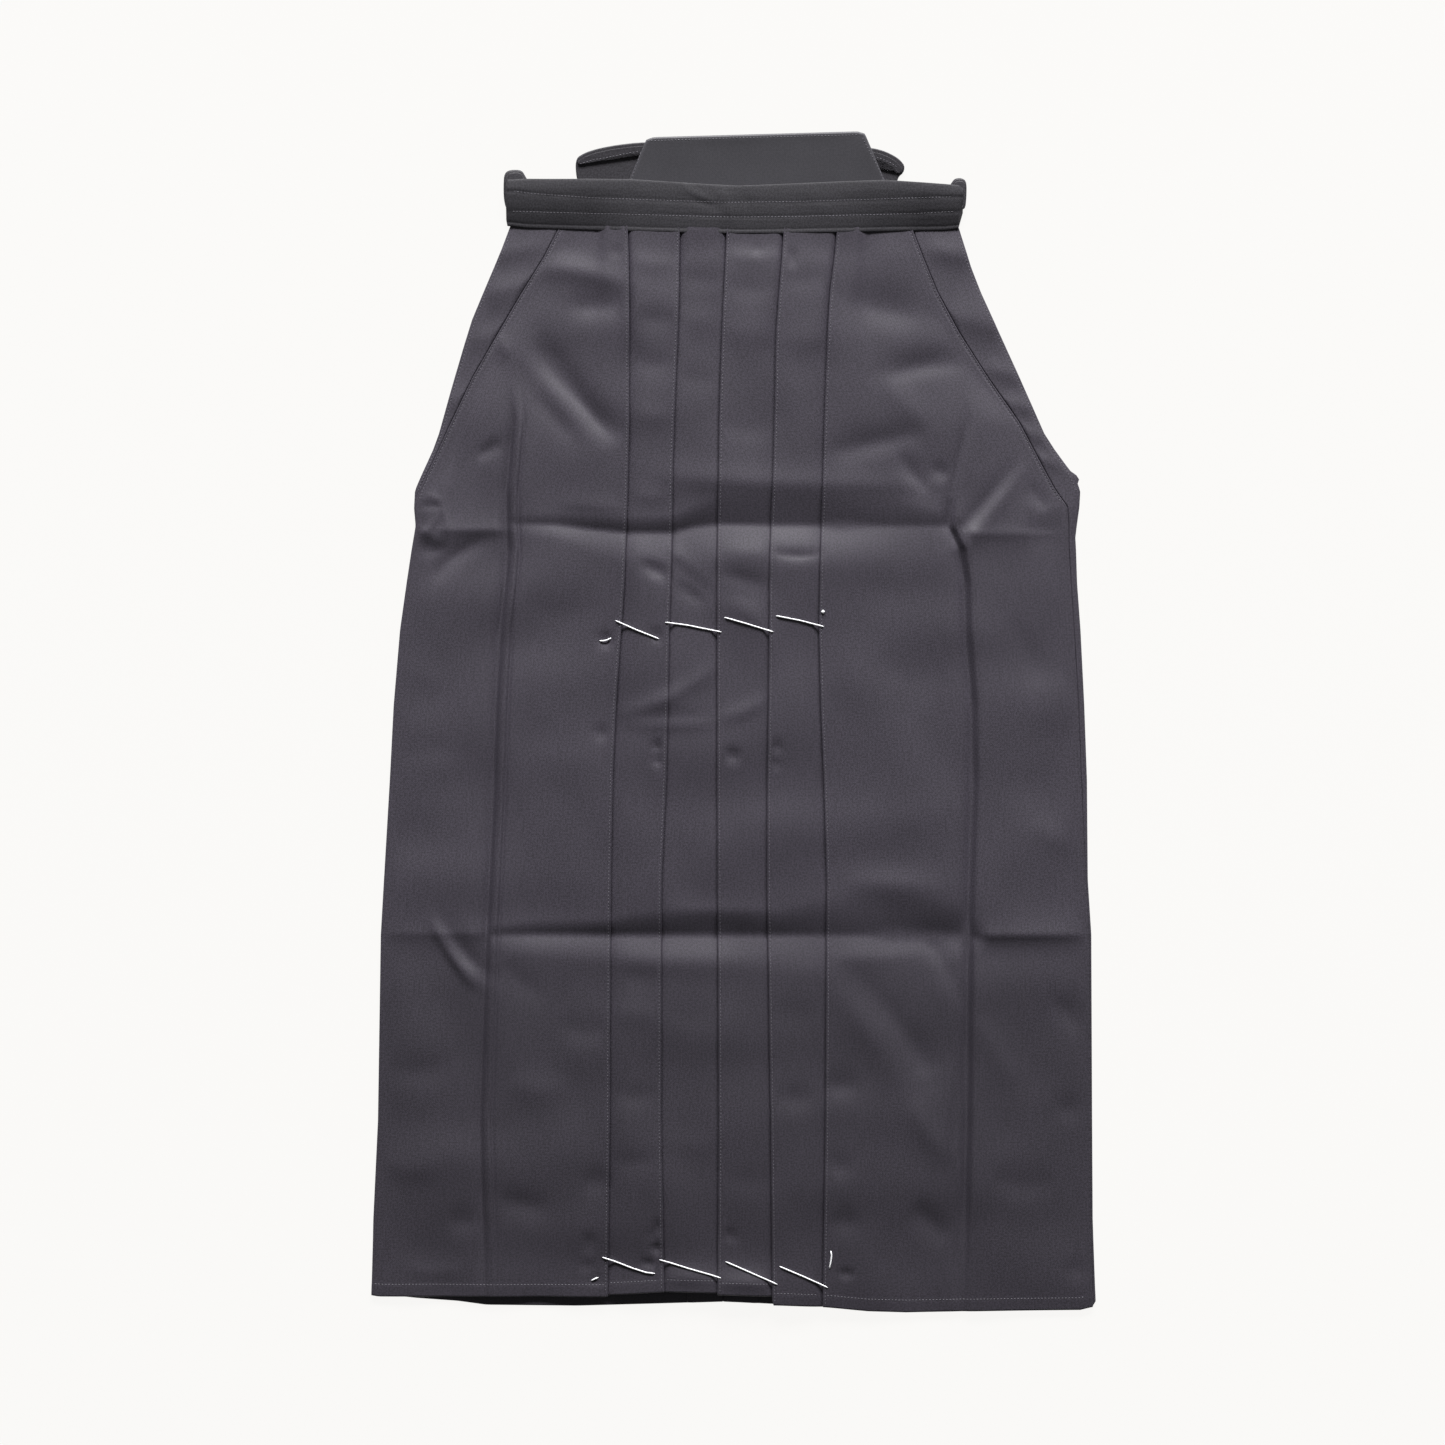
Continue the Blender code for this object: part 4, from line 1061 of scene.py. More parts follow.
def border(rows, cols):
    """Indices round the edge of a grid, clockwise from its first point."""
    index = np.arange(rows * cols).reshape(rows, cols)
    return np.concatenate([index[0, :], index[1:, -1], index[-1, -2::-1], index[-2:0:-1, 0]])


def ring_faces(ring_a, ring_b):
    """Quads between two closed rings of indices."""
    return np.stack([ring_a, np.roll(ring_a, -1), np.roll(ring_b, -1), ring_b], axis=1)


def wall_mesh(upper, lower, round_out):
    """Points and quads of a closed wall between two grids, with a rounded rim round its edge.

    The rim's middle ring is the mean of both edges, moved out by a share of the wall's thickness
    along the line from the next ring of the grid to its border.
    """
    rows, cols = upper.shape[:2]
    count = rows * cols
    index = np.arange(count).reshape(rows, cols)
    quads = np.stack([index[:-1, :-1], index[1:, :-1], index[1:, 1:], index[:-1, 1:]], axis=-1)
    quads = quads.reshape(-1, 4)
    edge = border(rows, cols)
    row, col = np.divmod(edge, cols)
    inner = np.clip(row, 1, rows - 2) * cols + np.clip(col, 1, cols - 2)
    top = upper.reshape(-1, 3)
    bottom = lower.reshape(-1, 3)
    middle = (top[edge] + bottom[edge]) / 2
    outward = middle - (top[inner] + bottom[inner]) / 2
    outward /= np.linalg.norm(outward, axis=1, keepdims=True)
    thickness = np.linalg.norm(top[edge] - bottom[edge], axis=1, keepdims=True)
    rim = middle + outward * thickness * round_out
    rim_index = 2 * count + np.arange(len(edge))
    upper_rim = ring_faces(edge, rim_index)
    lower_rim = ring_faces(rim_index, edge + count)
    faces = np.concatenate([quads, quads[:, ::-1] + count, upper_rim, lower_rim])
    return np.concatenate([top, bottom, rim]), faces, edge


def add_mesh(name, points, faces, uv, material):
    """A smooth mesh object from points in millimetres, with one UV pair for each point.

    faces is a list of whole arrays, each with faces of one number of corners.
    """
    points = (np.asarray(points) - np.array([0.0, LENGTH / 2, 0.0])) * MM
    corners = np.concatenate([block.ravel() for block in faces]).astype(np.int32)
    totals = np.concatenate([np.full(len(block), block.shape[1]) for block in faces])
    starts = np.concatenate([[0], np.cumsum(totals)[:-1]]).astype(np.int32)
    mesh = bpy.data.meshes.new(name)
    mesh.vertices.add(len(points))
    mesh.vertices.foreach_set("co", points.astype(np.float32).ravel())
    mesh.loops.add(len(corners))
    mesh.loops.foreach_set("vertex_index", corners)
    mesh.polygons.add(len(totals))
    mesh.polygons.foreach_set("loop_start", starts)
    mesh.update(calc_edges=True)
    layer = mesh.uv_layers.new(name="cloth")
    layer.data.foreach_set("uv", (uv[corners] * MM).astype(np.float32).ravel())
    mesh.materials.append(material)
    mesh.validate()
    mesh.shade_smooth()
    piece = bpy.data.objects.new(name, mesh)
    bpy.context.scene.collection.objects.link(piece)
    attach(piece, "root")
    return piece


def add_wall(name, upper, lower, uv, material, round_out=0.35):
    """A piece of cloth from its two faces, with one UV pair for each place of the grid."""
    points, faces, edge = wall_mesh(upper, lower, round_out)
    flat_uv = uv.reshape(-1, 2)
    uv = np.concatenate([flat_uv, flat_uv, flat_uv[edge]])
    return add_mesh(name, points, [faces], uv, material)


def link(material, source, socket, target, name):
    material.node_tree.links.new(source.outputs[socket], target.inputs[name])


def shaded(colour, share):
    """A share of a colour, with the fourth value that a socket needs."""
    return tuple(value * share for value in colour[:3]) + (1.0,)


def noise(material, vector, scale, detail):
    """A noise texture over these coordinates, which are a node and its socket."""
    texture = material.node_tree.nodes.new("ShaderNodeTexNoise")
    texture.inputs["Scale"].default_value = scale
    texture.inputs["Detail"].default_value = detail
    link(material, *vector, texture, "Vector")
    return texture


def spread_over(material, source, socket, low, high, to_low, to_high, smooth=False):
    """A map of one range of values to another, held at both ends."""
    spread = material.node_tree.nodes.new("ShaderNodeMapRange")
    spread.interpolation_type = "SMOOTHSTEP" if smooth else "LINEAR"
    spread.inputs["From Min"].default_value = low
    spread.inputs["From Max"].default_value = high
    spread.inputs["To Min"].default_value = to_low
    spread.inputs["To Max"].default_value = to_high
    link(material, source, socket, spread, "Value")
    return spread


def weighted_sum(material, first, weight, second):
    """The first texture's value by its weight, plus the second's."""
    total = material.node_tree.nodes.new("ShaderNodeMath")
    total.operation = "MULTIPLY_ADD"
    total.inputs[1].default_value = weight
    link(material, first, "Fac", total, 0)
    link(material, second, "Fac", total, 2)
    return total


def twill_ribs(material, place):
    """Slanting ribs: a wave of the sum of both UV coordinates, one for each RIB of cloth."""
    ribs = material.node_tree.nodes.new("ShaderNodeTexWave")
    ribs.wave_type = "BANDS"
    ribs.bands_direction = "DIAGONAL"
    ribs.inputs["Scale"].default_value = WAVE_PERIOD / RIB
    ribs.inputs["Distortion"].default_value = 0.6
    ribs.inputs["Detail"].default_value = 2.0
    link(material, place, "UV", ribs, "Vector")
    return ribs


def warp_streaks(material, place):
    """Upright streaks of the warp: a noise stretched along the length."""
    stretched = material.node_tree.nodes.new("ShaderNodeMapping")
    stretched.inputs["Scale"].default_value = (900.0, 45.0, 1.0)
    link(material, place, "UV", stretched, "Vector")
    return noise(material, (stretched, "Vector"), scale=1.0, detail=3.0)


def worn_colour(material, place, colour):
    """The cloth's colour in soft patches, from WORN_DARK to WORN_LIGHT of it."""
    patches = noise(material, (place, "UV"), scale=22.0, detail=4.0)
    worn = material.node_tree.nodes.new("ShaderNodeMixRGB")
    worn.inputs["Color1"].default_value = shaded(colour, WORN_DARK)
    worn.inputs["Color2"].default_value = shaded(colour, WORN_LIGHT)
    link(material, patches, "Fac", worn, "Fac")
    return worn


def grain_and_painted_shade(material, place, streaks, grain_depth, low_painted_shade):
    """Share of the colour at each place: fine grain over the streaks, by a painted shade of the length.
    """
    grain = noise(material, (place, "UV"), scale=700.0, detail=1.0)
    both = weighted_sum(material, streaks, STREAK_WEIGHT, grain)
    spread = spread_over(
        material, both, "Value", GRAIN_LOW, GRAIN_HIGH, 1.0 - grain_depth, 1.0 + grain_depth
    )
    lengthwise = material.node_tree.nodes.new("ShaderNodeSeparateXYZ")
    link(material, place, "UV", lengthwise, "Vector")
    # Painted shade: the legs' colour darkens below the lower storage crease
    tone_with_painted_shade = spread_over(
        material, lengthwise, "Y", LOW_PAINTED_SHADE_TO, LOW_PAINTED_SHADE_FROM, low_painted_shade, 1.0, smooth=True
    )
    grain_with_painted_shade = material.node_tree.nodes.new("ShaderNodeMath")
    grain_with_painted_shade.operation = "MULTIPLY"
    link(material, spread, "Result", grain_with_painted_shade, 0)
    link(material, tone_with_painted_shade, "Result", grain_with_painted_shade, 1)
    return grain_with_painted_shade


def twill(name, colour, specular=0.5, roughness=0.5, grain_depth=0.3, low_painted_shade=1.0):
    """Fine twill: slanting ribs, upright streaks of the warp, soft patches and a satin sheen.

    Ribs and streaks move the surface by a tenth of a millimetre at most. The part of the legs below
    the lower storage crease is darkened by a painted shade.
    """
    material = bpy.data.materials.new(name)
    material.use_nodes = True
    nodes = material.node_tree.nodes
    shader = nodes["Principled BSDF"]
    shader.inputs["Roughness"].default_value = roughness
    shader.inputs["Specular IOR Level"].default_value = specular
    shader.inputs["Sheen Weight"].default_value = 0.03
    shader.inputs["Sheen Roughness"].default_value = 0.5
    shader.inputs["Sheen Tint"].default_value = (0.78, 0.74, 0.9, 1.0)
    place = nodes.new("ShaderNodeUVMap")
    place.uv_map = "cloth"
    streaks = warp_streaks(material, place)
    thread = nodes.new("ShaderNodeMixRGB")
    thread.blend_type = "MULTIPLY"
    thread.inputs["Fac"].default_value = 1.0
    worn = worn_colour(material, place, colour)
    tone_with_painted_shade = grain_and_painted_shade(material, place, streaks, grain_depth, low_painted_shade)
    link(material, worn, "Color", thread, "Color1")
    link(material, tone_with_painted_shade, "Value", thread, "Color2")
    link(material, thread, "Color", shader, "Base Color")
    bump = nodes.new("ShaderNodeBump")
    bump.inputs["Strength"].default_value = 0.35
    bump.inputs["Distance"].default_value = 0.0001
    height = weighted_sum(material, twill_ribs(material, place), RIB_WEIGHT, streaks)
    link(material, height, "Value", bump, "Height")
    link(material, bump, "Normal", shader, "Normal")
    return material


def plain_finish(name, colour, roughness):
    """A finish with a soft mottle, for threads and the stage."""
    material = bpy.data.materials.new(name)
    material.use_nodes = True
    nodes = material.node_tree.nodes
    shader = nodes["Principled BSDF"]
    shader.inputs["Roughness"].default_value = roughness
    place = nodes.new("ShaderNodeTexCoord")
    mottle = noise(material, (place, "Object"), scale=900.0, detail=2.0)
    mix = nodes.new("ShaderNodeMixRGB")
    mix.inputs["Color1"].default_value = shaded(colour, MOTTLE_DARK)
    mix.inputs["Color2"].default_value = shaded(colour, 1.0)
    link(material, mottle, "Fac", mix, "Fac")
    link(material, mix, "Color", shader, "Base Color")
    return material


def lit_paper(name, colour):
    """White paper lit from below, as on a light table, which takes only the faintest shadow."""
    material = plain_finish(name, shaded(colour, PAPER_DIFFUSE), 0.95)
    shader = material.node_tree.nodes["Principled BSDF"]
    shader.inputs["Specular IOR Level"].default_value = 0.0
    shader.inputs["Emission Color"].default_value = shaded(colour, 1.0)
    shader.inputs["Emission Strength"].default_value = PAPER_LIGHT
    return material


def hem_thickness(above_hem, cloth):
    """Cloth's thickness: more over the turned-up hem, with a groove along its line of stitches."""
    folded = np.clip((HEM_FOLD - above_hem) / HEM_SLOPE + 0.5, 0.0, 1.0)
    groove = np.exp(-(((above_hem - HEM_STITCH) / GROOVE_REACH) ** 2))
    return cloth * (1.0 + HEM_ADDS * folded - HEM_GROOVE * groove)


def add_front(name, section_of, hem_table, material, sizes):
    """A front leg: the wall round its middle surface, which stands for the CAD part of that name."""
    x, up, z, above_hem = front_middle(section_of, hem_table, sizes)
    upper, lower = wall_faces(x, up, z, hem_thickness(above_hem, sizes.cloth / MM))
    uv = np.stack([section_arc(x, z), up], axis=-1)
    piece = add_wall(name + "_cloth", upper, lower, uv, material)
    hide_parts(name)
    return piece


# Creases of the backs, seen from below: troughs away from the floor
BACK_CREASES = (
    (-260, 640, -200, 668, -150, 660, 0.9, 9, 12), (-120, 672, -60, 668, -16, 672, 1.1, 12, 10),
    (20, 670, 90, 674, 180, 668, 1.2, 11, 12), (200, 662, 240, 650, 280, 640, 0.8, 10, 9),
    (-270, 330, -180, 322, -60, 324, 1.0, 12, 10), (20, 322, 120, 326, 270, 318, 1.0, 10, 12),
    (-190, 600, -196, 450, -203, 200, 0.8, 8, 7), (196, 620, 204, 430, 200, 160, 0.8, 7, 8),
    (-170, 860, -150, 800, -100, 760, 0.8, 10, 12), (150, 850, 130, 790, 90, 745, 0.8, 12, 10),
    (-250, 260, -220, 215, -190, 190, 0.6, 10, 10), (90, 290, 130, 240, 150, 190, 0.7, 12, 12),
    (-120, 520, -90, 480, -80, 430, 0.5, 12, 14), (60, 560, 90, 520, 100, 470, 0.5, 14, 12),
    (-270, 120, -230, 100, -190, 96, 0.5, 12, 12), (200, 110, 235, 96, 270, 100, 0.5, 12, 12),
)


# Wrinkles of the backs where the slits leave them bare
SLIT_CREASES = (
    (164, 906, 184, 904, 204, 899, 1.8, 12, 10), (184, 852, 206, 846, 228, 838, 2.3, 22, 14),
    (214, 806, 230, 802, 246, 796, 1.2, 9, 8), (226, 776, 242, 774, 256, 768, 1.2, 8, 8),
    (238, 752, 252, 750, 264, 742, 1.2, 7, 7), (252, 728, 264, 727, 276, 720, 1.1, 6, 6),
    (-212, 868, -194, 872, -170, 880, 1.9, 12, 18), (-228, 830, -210, 832, -194, 842, 1.2, 10, 12),
    (-246, 776, -236, 778, -222, 786, 1.1, 12, 12), (-204, 902, -190, 905, -160, 910, 1.0, 9, 9),
)
# A back's creases take no more than this share of the front's rise above them, less the clearance,
# and leave its centre fold flat
BACK_ROOM_SHARE = 0.45
BACK_CLEARANCE = 0.4
BACK_FLAT = 2.0
BACK_FLAT_FADE = 20.0
# A slit's wrinkles rise by this slope from its edge, up to the room
SLIT_ROOM = 3.0
SLIT_SLOPE = 0.35
# Where the back leaves the edge of the front it steps up, over a slope and to a rise, sinks again over
# the reach and is level at its side. The grid's fine columns go from the step's width to the part
# under the front, and the bare strip never counts as narrower than the least
SLIT_STEP = 2.8
SLIT_UNDER = 0.4
SLIT_RISE = 1.3
SLIT_RISE_FROM = 0.1
SLIT_RISE_OVER = 1.3
SLIT_REACH = 24.0
SLIT_SIDE = 5.0
SLIT_LEAST = 8.0
# Height of the backs' lower face over the floor
BACK_OFF_FLOOR = 0.05


def back_section(side_name, toward, up):
    """A back: its panel on the floor, its centre fold and the turned-in cloth."""
    side = back(side_name, up)
    slit = side + toward * np.maximum(np.abs(front(side_name, up) - side), SLIT_LEAST)
    edge = np.full_like(side, BACK_FOLD_X - toward * BACK_EDGE_IN)
    near_edge = edge - toward * TURN
    parts = [
        span(side, slit - toward * SLIT_STEP, even_shares(16, 0.3)),
        span(slit - toward * SLIT_STEP, slit + toward * SLIT_UNDER, even_shares(7, 0.0)),
        span(slit + toward * SLIT_UNDER, near_edge, even_shares(70, 0.3)),
        span(near_edge, edge, (0.0,)),
        turn(edge, toward, 0.0, 1.0, 5),
        span(near_edge, edge - toward * BACK_PLEAT, np.linspace(0.0, 1.0, 9), 1.0, 1.0),
    ]
    return joined(parts)


def back_lift(x, up, puff_height):
    """Rise of a back off the floor: its own creases, no more than the front above leaves room for."""
    room = BACK_ROOM_SHARE * relief(x, up, puff_height) - BACK_CLEARANCE
    room = np.maximum(room, 0.0)
    beside_fold = np.abs(x - BACK_FOLD_X) - BACK_FLAT
    away_from_fold = np.clip(beside_fold / BACK_FLAT_FADE, 0.0, 1.0)
    wanted = np.maximum(creases(x, up, BACK_CREASES), 0.0)
    bare = np.maximum(front("right_side", up) - x, x - front("left_side", up))
    bare_room = np.clip(bare * SLIT_SLOPE, 0.0, SLIT_ROOM) * (up > SLIT_END_UP)
    in_slit = np.minimum(creases(x, up, SLIT_CREASES), bare_room)
    outside = np.minimum(x - back("right_side", up), back("left_side", up) - x)
    step = np.clip((bare - SLIT_RISE_FROM) / SLIT_RISE_OVER, 0.0, 1.0)
    step = step * np.exp(-np.maximum(bare, 0.0) / SLIT_REACH)
    step = SLIT_RISE * step * np.clip(outside / SLIT_SIDE, 0.0, 1.0)
    return away_from_fold * np.minimum(wanted, room) + np.maximum(in_slit, 0.0) + step


def add_back(name, side_name, toward, material, sizes):
    """A back leg: its section in every row, laid so that its lower face is just off the floor."""
    rows = grid_rows(BACK_TOP)
    x, layer = back_section(side_name, toward, rows)
    up = hem_blended(rows, hem(BACK_HEM, x))
    z = CAD_CLOTH / 2 + LAYER * layer + back_lift(x, up, sizes.puff / MM)
    cloth = hem_thickness(up - hem(BACK_HEM, x), sizes.cloth / MM)
    z = z - (CAD_CLOTH - cloth) / 2 + BACK_OFF_FLOOR
    upper, lower = wall_faces(x, up, z, cloth)
    uv = np.stack([section_arc(x, z), up], axis=-1)
    piece = add_wall(name + "_cloth", upper, lower, uv, material)
    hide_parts(name)
    return piece


def settings():
    return bpy.context.scene.trouser_sizes


def colours():
    return bpy.context.scene.trouser_colours


def own_material(name, make):
    """The material of that name, made when it is first asked for."""
    return bpy.data.materials.get(name) or make()


def cloth_material():
    return own_material(
        "front_twill", lambda: twill("front_twill", colours().cloth, low_painted_shade=LOW_PAINTED_SHADE)
    )


def back_material():
    return own_material(
        "back_twill", lambda: twill("back_twill", colours().back, low_painted_shade=LOW_PAINTED_SHADE)
    )


def band_material():
    return own_material(
        "band_twill", lambda: twill("band_twill", colours().band, specular=0.3, roughness=0.52)
    )


class TROUSERS_OT_fronts(bpy.types.Operator):
    """Two front legs with their pleats, creases and hems"""

    bl_idname = "trousers.fronts"
    bl_label = "Front legs"

    def execute(self, context):
        sizes = settings()
        right = add_front(
            "front_right_leg", right_front_section, FRONT_HEM_RIGHT, cloth_material(), sizes
        )
        left = add_front(
            "front_left_leg", left_front_section, FRONT_HEM_LEFT, cloth_material(), sizes
        )
        return {"FINISHED"}


class TROUSERS_OT_backs(bpy.types.Operator):
    """Two back legs with their centre fold"""

    bl_idname = "trousers.backs"
    bl_label = "Back legs"

    def execute(self, context):
        sizes = settings()
        right = add_back("back_right_leg", "right_side", 1, back_material(), sizes)
        left = add_back("back_left_leg", "left_side", -1, back_material(), sizes)
        return {"FINISHED"}


def add_gusset(material, sizes):
    """A flat diamond over the back's folds, where the two legs part."""
    share = np.linspace(-GUSSET_LONGEST, GUSSET_LONGEST, 25)[:, None]
    across = np.linspace(-1.0, 1.0, 21)[None, :]
    x = BACK_FOLD_X + across * GUSSET_WIDTH / 2 * (1.0 - np.abs(share))
    up = CROTCH_UP - share * GUSSET_HEIGHT / 2 * np.ones_like(across)
    z = np.full_like(x, CAD_CLOTH / 2 + 2 * LAYER)
    upper, lower = wall_faces(x, up, z, sizes.cloth / MM)
    uv = np.stack([x, up], axis=-1)
    piece = add_wall("crotch_gusset_cloth", upper, lower, uv, material)
    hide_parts("crotch_gusset")
    return piece


class TROUSERS_OT_gusset(bpy.types.Operator):
    """Crotch gusset between the legs"""

    bl_idname = "trousers.gusset"
    bl_label = "Crotch gusset"

    def execute(self, context):
        piece = add_gusset(back_material(), settings())
        return {"FINISHED"}


def board_underside(up):
    """The board leans: its lower edge is on the floor and its upper edge lies on the straps."""
    return BOARD_FOOT + BOARD_LIFT * (up - BOARD_BOTTOM) / (LENGTH - BOARD_BOTTOM)


def band_underside(x, up):
    """Low at the ends over the straps, and higher over the pleats and the board."""
    middle = plateau(x - BAND_MIDDLE, BAND_FULL, BAND_NONE)
    over_board = np.clip((up - BAND_SLOPE_FROM) / BAND_SLOPE_LENGTH, 0.0, 1.0)
    return BAND_LIFT + middle * (BAND_OVER_PLEATS + BAND_OVER_BOARD * over_board)


def line_groove(x, up, line):
    """A groove along a stitched line of the band: -depth * exp(-(distance / reach) ^ 2)."""
    places = np.array(line, dtype=float)
    away = up - np.interp(x, places[:, 0], places[:, 1])
    return -GROOVE * np.exp(-((away / BAND_GROOVE_REACH) ** 2))


def rounded_outline(corners, cut=0.22, times=3):
    """A closed outline whose corners are cut again and again, each to two points near it."""
    outline = np.array(corners, dtype=float)
    for _ in range(times):
        ahead = np.roll(outline, -1, axis=0)
        nearer = outline + (ahead - outline) * cut
        farther = ahead + (outline - ahead) * cut
        outline = np.stack([nearer, farther], axis=1).reshape(-1, 2)
    return outline


def evened(outline, step):
    """The same closed outline with its points a step apart along it."""
    closed = np.concatenate([outline, outline[:1]])
    run = np.concatenate([[0.0], np.cumsum(np.linalg.norm(np.diff(closed, axis=0), axis=1))])
    count = max(24, int(run[-1] / step))
    places = np.linspace(0.0, run[-1], count, endpoint=False)
    return np.stack([np.interp(places, run, closed[:, k]) for k in (0, 1)], axis=1)


def leftward(outline):
    """The outline turned so that it runs anticlockwise as seen from above."""
    ahead = np.roll(outline, -1, axis=0)
    area = np.sum(outline[:, 0] * ahead[:, 1] - ahead[:, 0] * outline[:, 1])
    return outline if area > 0 else outline[::-1]


def inset_outline(outline, distance):
    """The anticlockwise outline drawn in along the mean normal of its two sides at each point."""
    ahead = np.roll(outline, -1, axis=0) - np.roll(outline, 1, axis=0)
    ahead /= np.linalg.norm(ahead, axis=1, keepdims=True)
    return outline + np.stack([-ahead[:, 1], ahead[:, 0]], axis=1) * distance


# Rings of a slab's rounded side: share of its thickness, and inset as a share of the thickness
SLAB_SIDE = (
    (0.0, 0.36), (0.08, 0.15), (0.25, 0.03), (0.5, 0.0), (0.75, 0.03), (0.92, 0.15), (1.0, 0.36),
)
# Sizes of the rings on its faces, as shares of the outermost one
SLAB_FACE = (0.985, 0.95, 0.88, 0.76, 0.6, 0.42, 0.22)


def slab(outline, low, high, detail=None):
    """A closed slab over an outline: a rounded side of rings, and rings that shrink on both faces.

    low and high give the height of both faces at a place, and detail is added to the upper one.
    A face's ring is the side's last ring scaled towards its middle.
    """
    flat = []
    shares = []
    middle = outline.mean(axis=0)
    thickness = np.mean(high(outline[:, 0], outline[:, 1]) - low(outline[:, 0], outline[:, 1]))
    side = [(share, inset_outline(outline, inset * thickness)) for share, inset in SLAB_SIDE]
    for scale in reversed(SLAB_FACE):
        flat.append(middle + (side[0][1] - middle) * scale)
        shares.append(0.0)
    for share, ring in side:
        flat.append(ring)
        shares.append(share)
    for scale in SLAB_FACE:
        flat.append(middle + (side[-1][1] - middle) * scale)
        shares.append(1.0)
    rings = np.array(flat)
    shares = np.array(shares)[:, None]
    x, up = rings[..., 0], rings[..., 1]
    z = low(x, up) + shares * (high(x, up) - low(x, up))
    if detail is not None:
        z = z + detail(x, up) * (shares > 0.99)
    count = len(outline)
    points = np.dstack([x, up, z]).reshape(-1, 3)
    index = np.arange(len(rings) * count).reshape(len(rings), count)
    quads = np.concatenate([ring_faces(index[k], index[k + 1]) for k in range(len(rings) - 1)])
    return points, [quads, index[:1, ::-1], index[-1:]]


def merged(meshes):
    """Several meshes' points and faces as one."""
    points, faces, first = [], [], 0
    for mesh_points, mesh_faces in meshes:
        points.append(mesh_points)
        faces += [block + first for block in mesh_faces]
        first += len(mesh_points)
    return np.concatenate(points), faces


def add_waistband(material):
    """A folded band: a flat strip with a raised lip along its lower edge and two stitched lines."""
    table = np.array(BAND)
    steps = np.linspace(0, len(BAND) - 1, BAND_STEPS * (len(BAND) - 1) + 1)
    index = np.arange(len(BAND))
    x, bottom, top = (np.interp(steps, index, table[:, k]) for k in range(3))
    share = np.array(BAND_SHARES)[::-1, None]
    thickness = column(BAND_PROFILE, BAND_PROFILE_COLUMNS, "thickness", share, key="share")
    up = bottom[None, :] + share * (top - bottom)[None, :]
    x = np.broadcast_to(x[None, :], up.shape)
    edge = column(BAND_EDGE, BAND_EDGE_COLUMNS, "height", x, key="x")
    sloping = np.clip(1.0 - share / BAND_SLOPE_SHARE, 0.0, 1.0) ** BAND_SLOPE_POWER
    under = band_underside(x, up)
    under = under + (edge - under) * sloping
    end = np.interp(np.abs(np.abs(x) - BAND_END), (0.0, BAND_END_LENGTH), (1.0, 0.0))
    detail = creases(x, up, BAND_CREASES) + line_groove(x, up, BAND_UPPER_LINE)
    detail = detail + line_groove(x, up, BAND_LOWER_LINE)
    upper = np.dstack([x, up, under + thickness * (1.0 - BAND_END_THIN * end) + detail])
    lower = np.dstack([x, up, under + BAND_END_THIN * end])
    uv = np.stack([up, x], axis=-1)
    piece = add_wall("waistband_cloth", upper, lower, uv, material, 0.08)
    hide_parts("front_waistband")
    return piece


class TROUSERS_OT_waistband(bpy.types.Operator):
    """Front waistband, folded and stitched"""

    bl_idname = "trousers.waistband"
    bl_label = "Waistband"

    def execute(self, context):
        piece = add_waistband(band_material())
        return {"FINISHED"}


# The board's cloth: its creases, with low rims where it is turned round the edges, and its waves
BOARD_CREASES = (
    (-88, 972, -84, 985, -76, 998, 0.35, 3, 3), (120, 970, 114, 988, 107, 1002, 0.3, 3, 3),
    (-70, 998, 0, 1000, 100, 1003, 0.3, 3, 3), (-60, 980, 10, 975, 90, 982, -0.2, 14, 12),
    (40, 996, 60, 985, 70, 970, 0.15, 8, 8),
)
BOARD_WAVE = 0.12
BOARD_WAVE_SHORT = 17.0
BOARD_WAVE_LONG = 60.0


def board_detail(x, up):
    """Creases of the board's cloth, and faint waves sin(x / short + 2 s) sin(x / long + 7 s).

    s is the share of the board's height.
    """
    share = np.clip((up - BOARD_BOTTOM) / (LENGTH - BOARD_BOTTOM), 0.0, 1.0)
    short = np.sin(x / BOARD_WAVE_SHORT + 2.0 * share)
    long = np.sin(share * 7.0 + x / BOARD_WAVE_LONG)
    return BOARD_WAVE * short * long + creases(x, up, BOARD_CREASES)


def add_board(material):
    """The stiff board of the back's waist, covered in the cloth."""
    outline = evened(rounded_outline(BOARD_CORNERS, cut=0.03, times=2), 3.0)
    points, faces = slab(
        leftward(outline),
        lambda x, up: board_underside(up),
        lambda x, up: board_underside(up) + BOARD_THICK,
        board_detail,
    )
    piece = add_mesh("back_board_cover", points, faces, points[:, :2], material)
    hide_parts("back_board")
    return piece


def add_strap(name, folds, height_at, material):
    """A strap folded on itself: rounded layers, each drawn in and slipped a little on the last.

    folds are pairs of an outline and its layers.
    """
    meshes = []
    for corners, layers in folds:
        outline = leftward(evened(rounded_outline(corners), 2.2))
        for low, high, inset, slip_x, slip_up in layers:
            placed = inset_outline(outline, inset) + np.array([slip_x, slip_up])
            meshes.append(
                slab(
                    placed,
                    lambda x, up, share=low: share * height_at(x, up),
                    lambda x, up, share=high: share * height_at(x, up),
                )
            )
    points, faces = merged(meshes)
    piece = add_mesh(name + "_cloth", points, faces, points[:, 1::-1], material)
    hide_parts(name)
    return piece


def under_board(x, up):
    """Height that the straps of the board may take, below its underside."""
    return board_underside(up) - STRAP_GAP


def under_band(x, up):
    """Height that the straps of the band may take, the same everywhere."""
    return np.full_like(x, STRAP_HEIGHT)


def board_material():
    return own_material(
        "board_twill",
        lambda: twill(
            "board_twill", colours().board, specular=0.35, roughness=0.52, grain_depth=0.12
        ),
    )


def strap_material():
    return own_material(
        "strap_twill", lambda: twill("strap_twill", colours().strap, specular=0.3, roughness=0.52)
    )


class TROUSERS_OT_board(bpy.types.Operator):
    """Stiff board at the back's waist, covered in cloth"""

    bl_idname = "trousers.board"
    bl_label = "Back board"

    def execute(self, context):
        add_board(board_material())
        return {"FINISHED"}


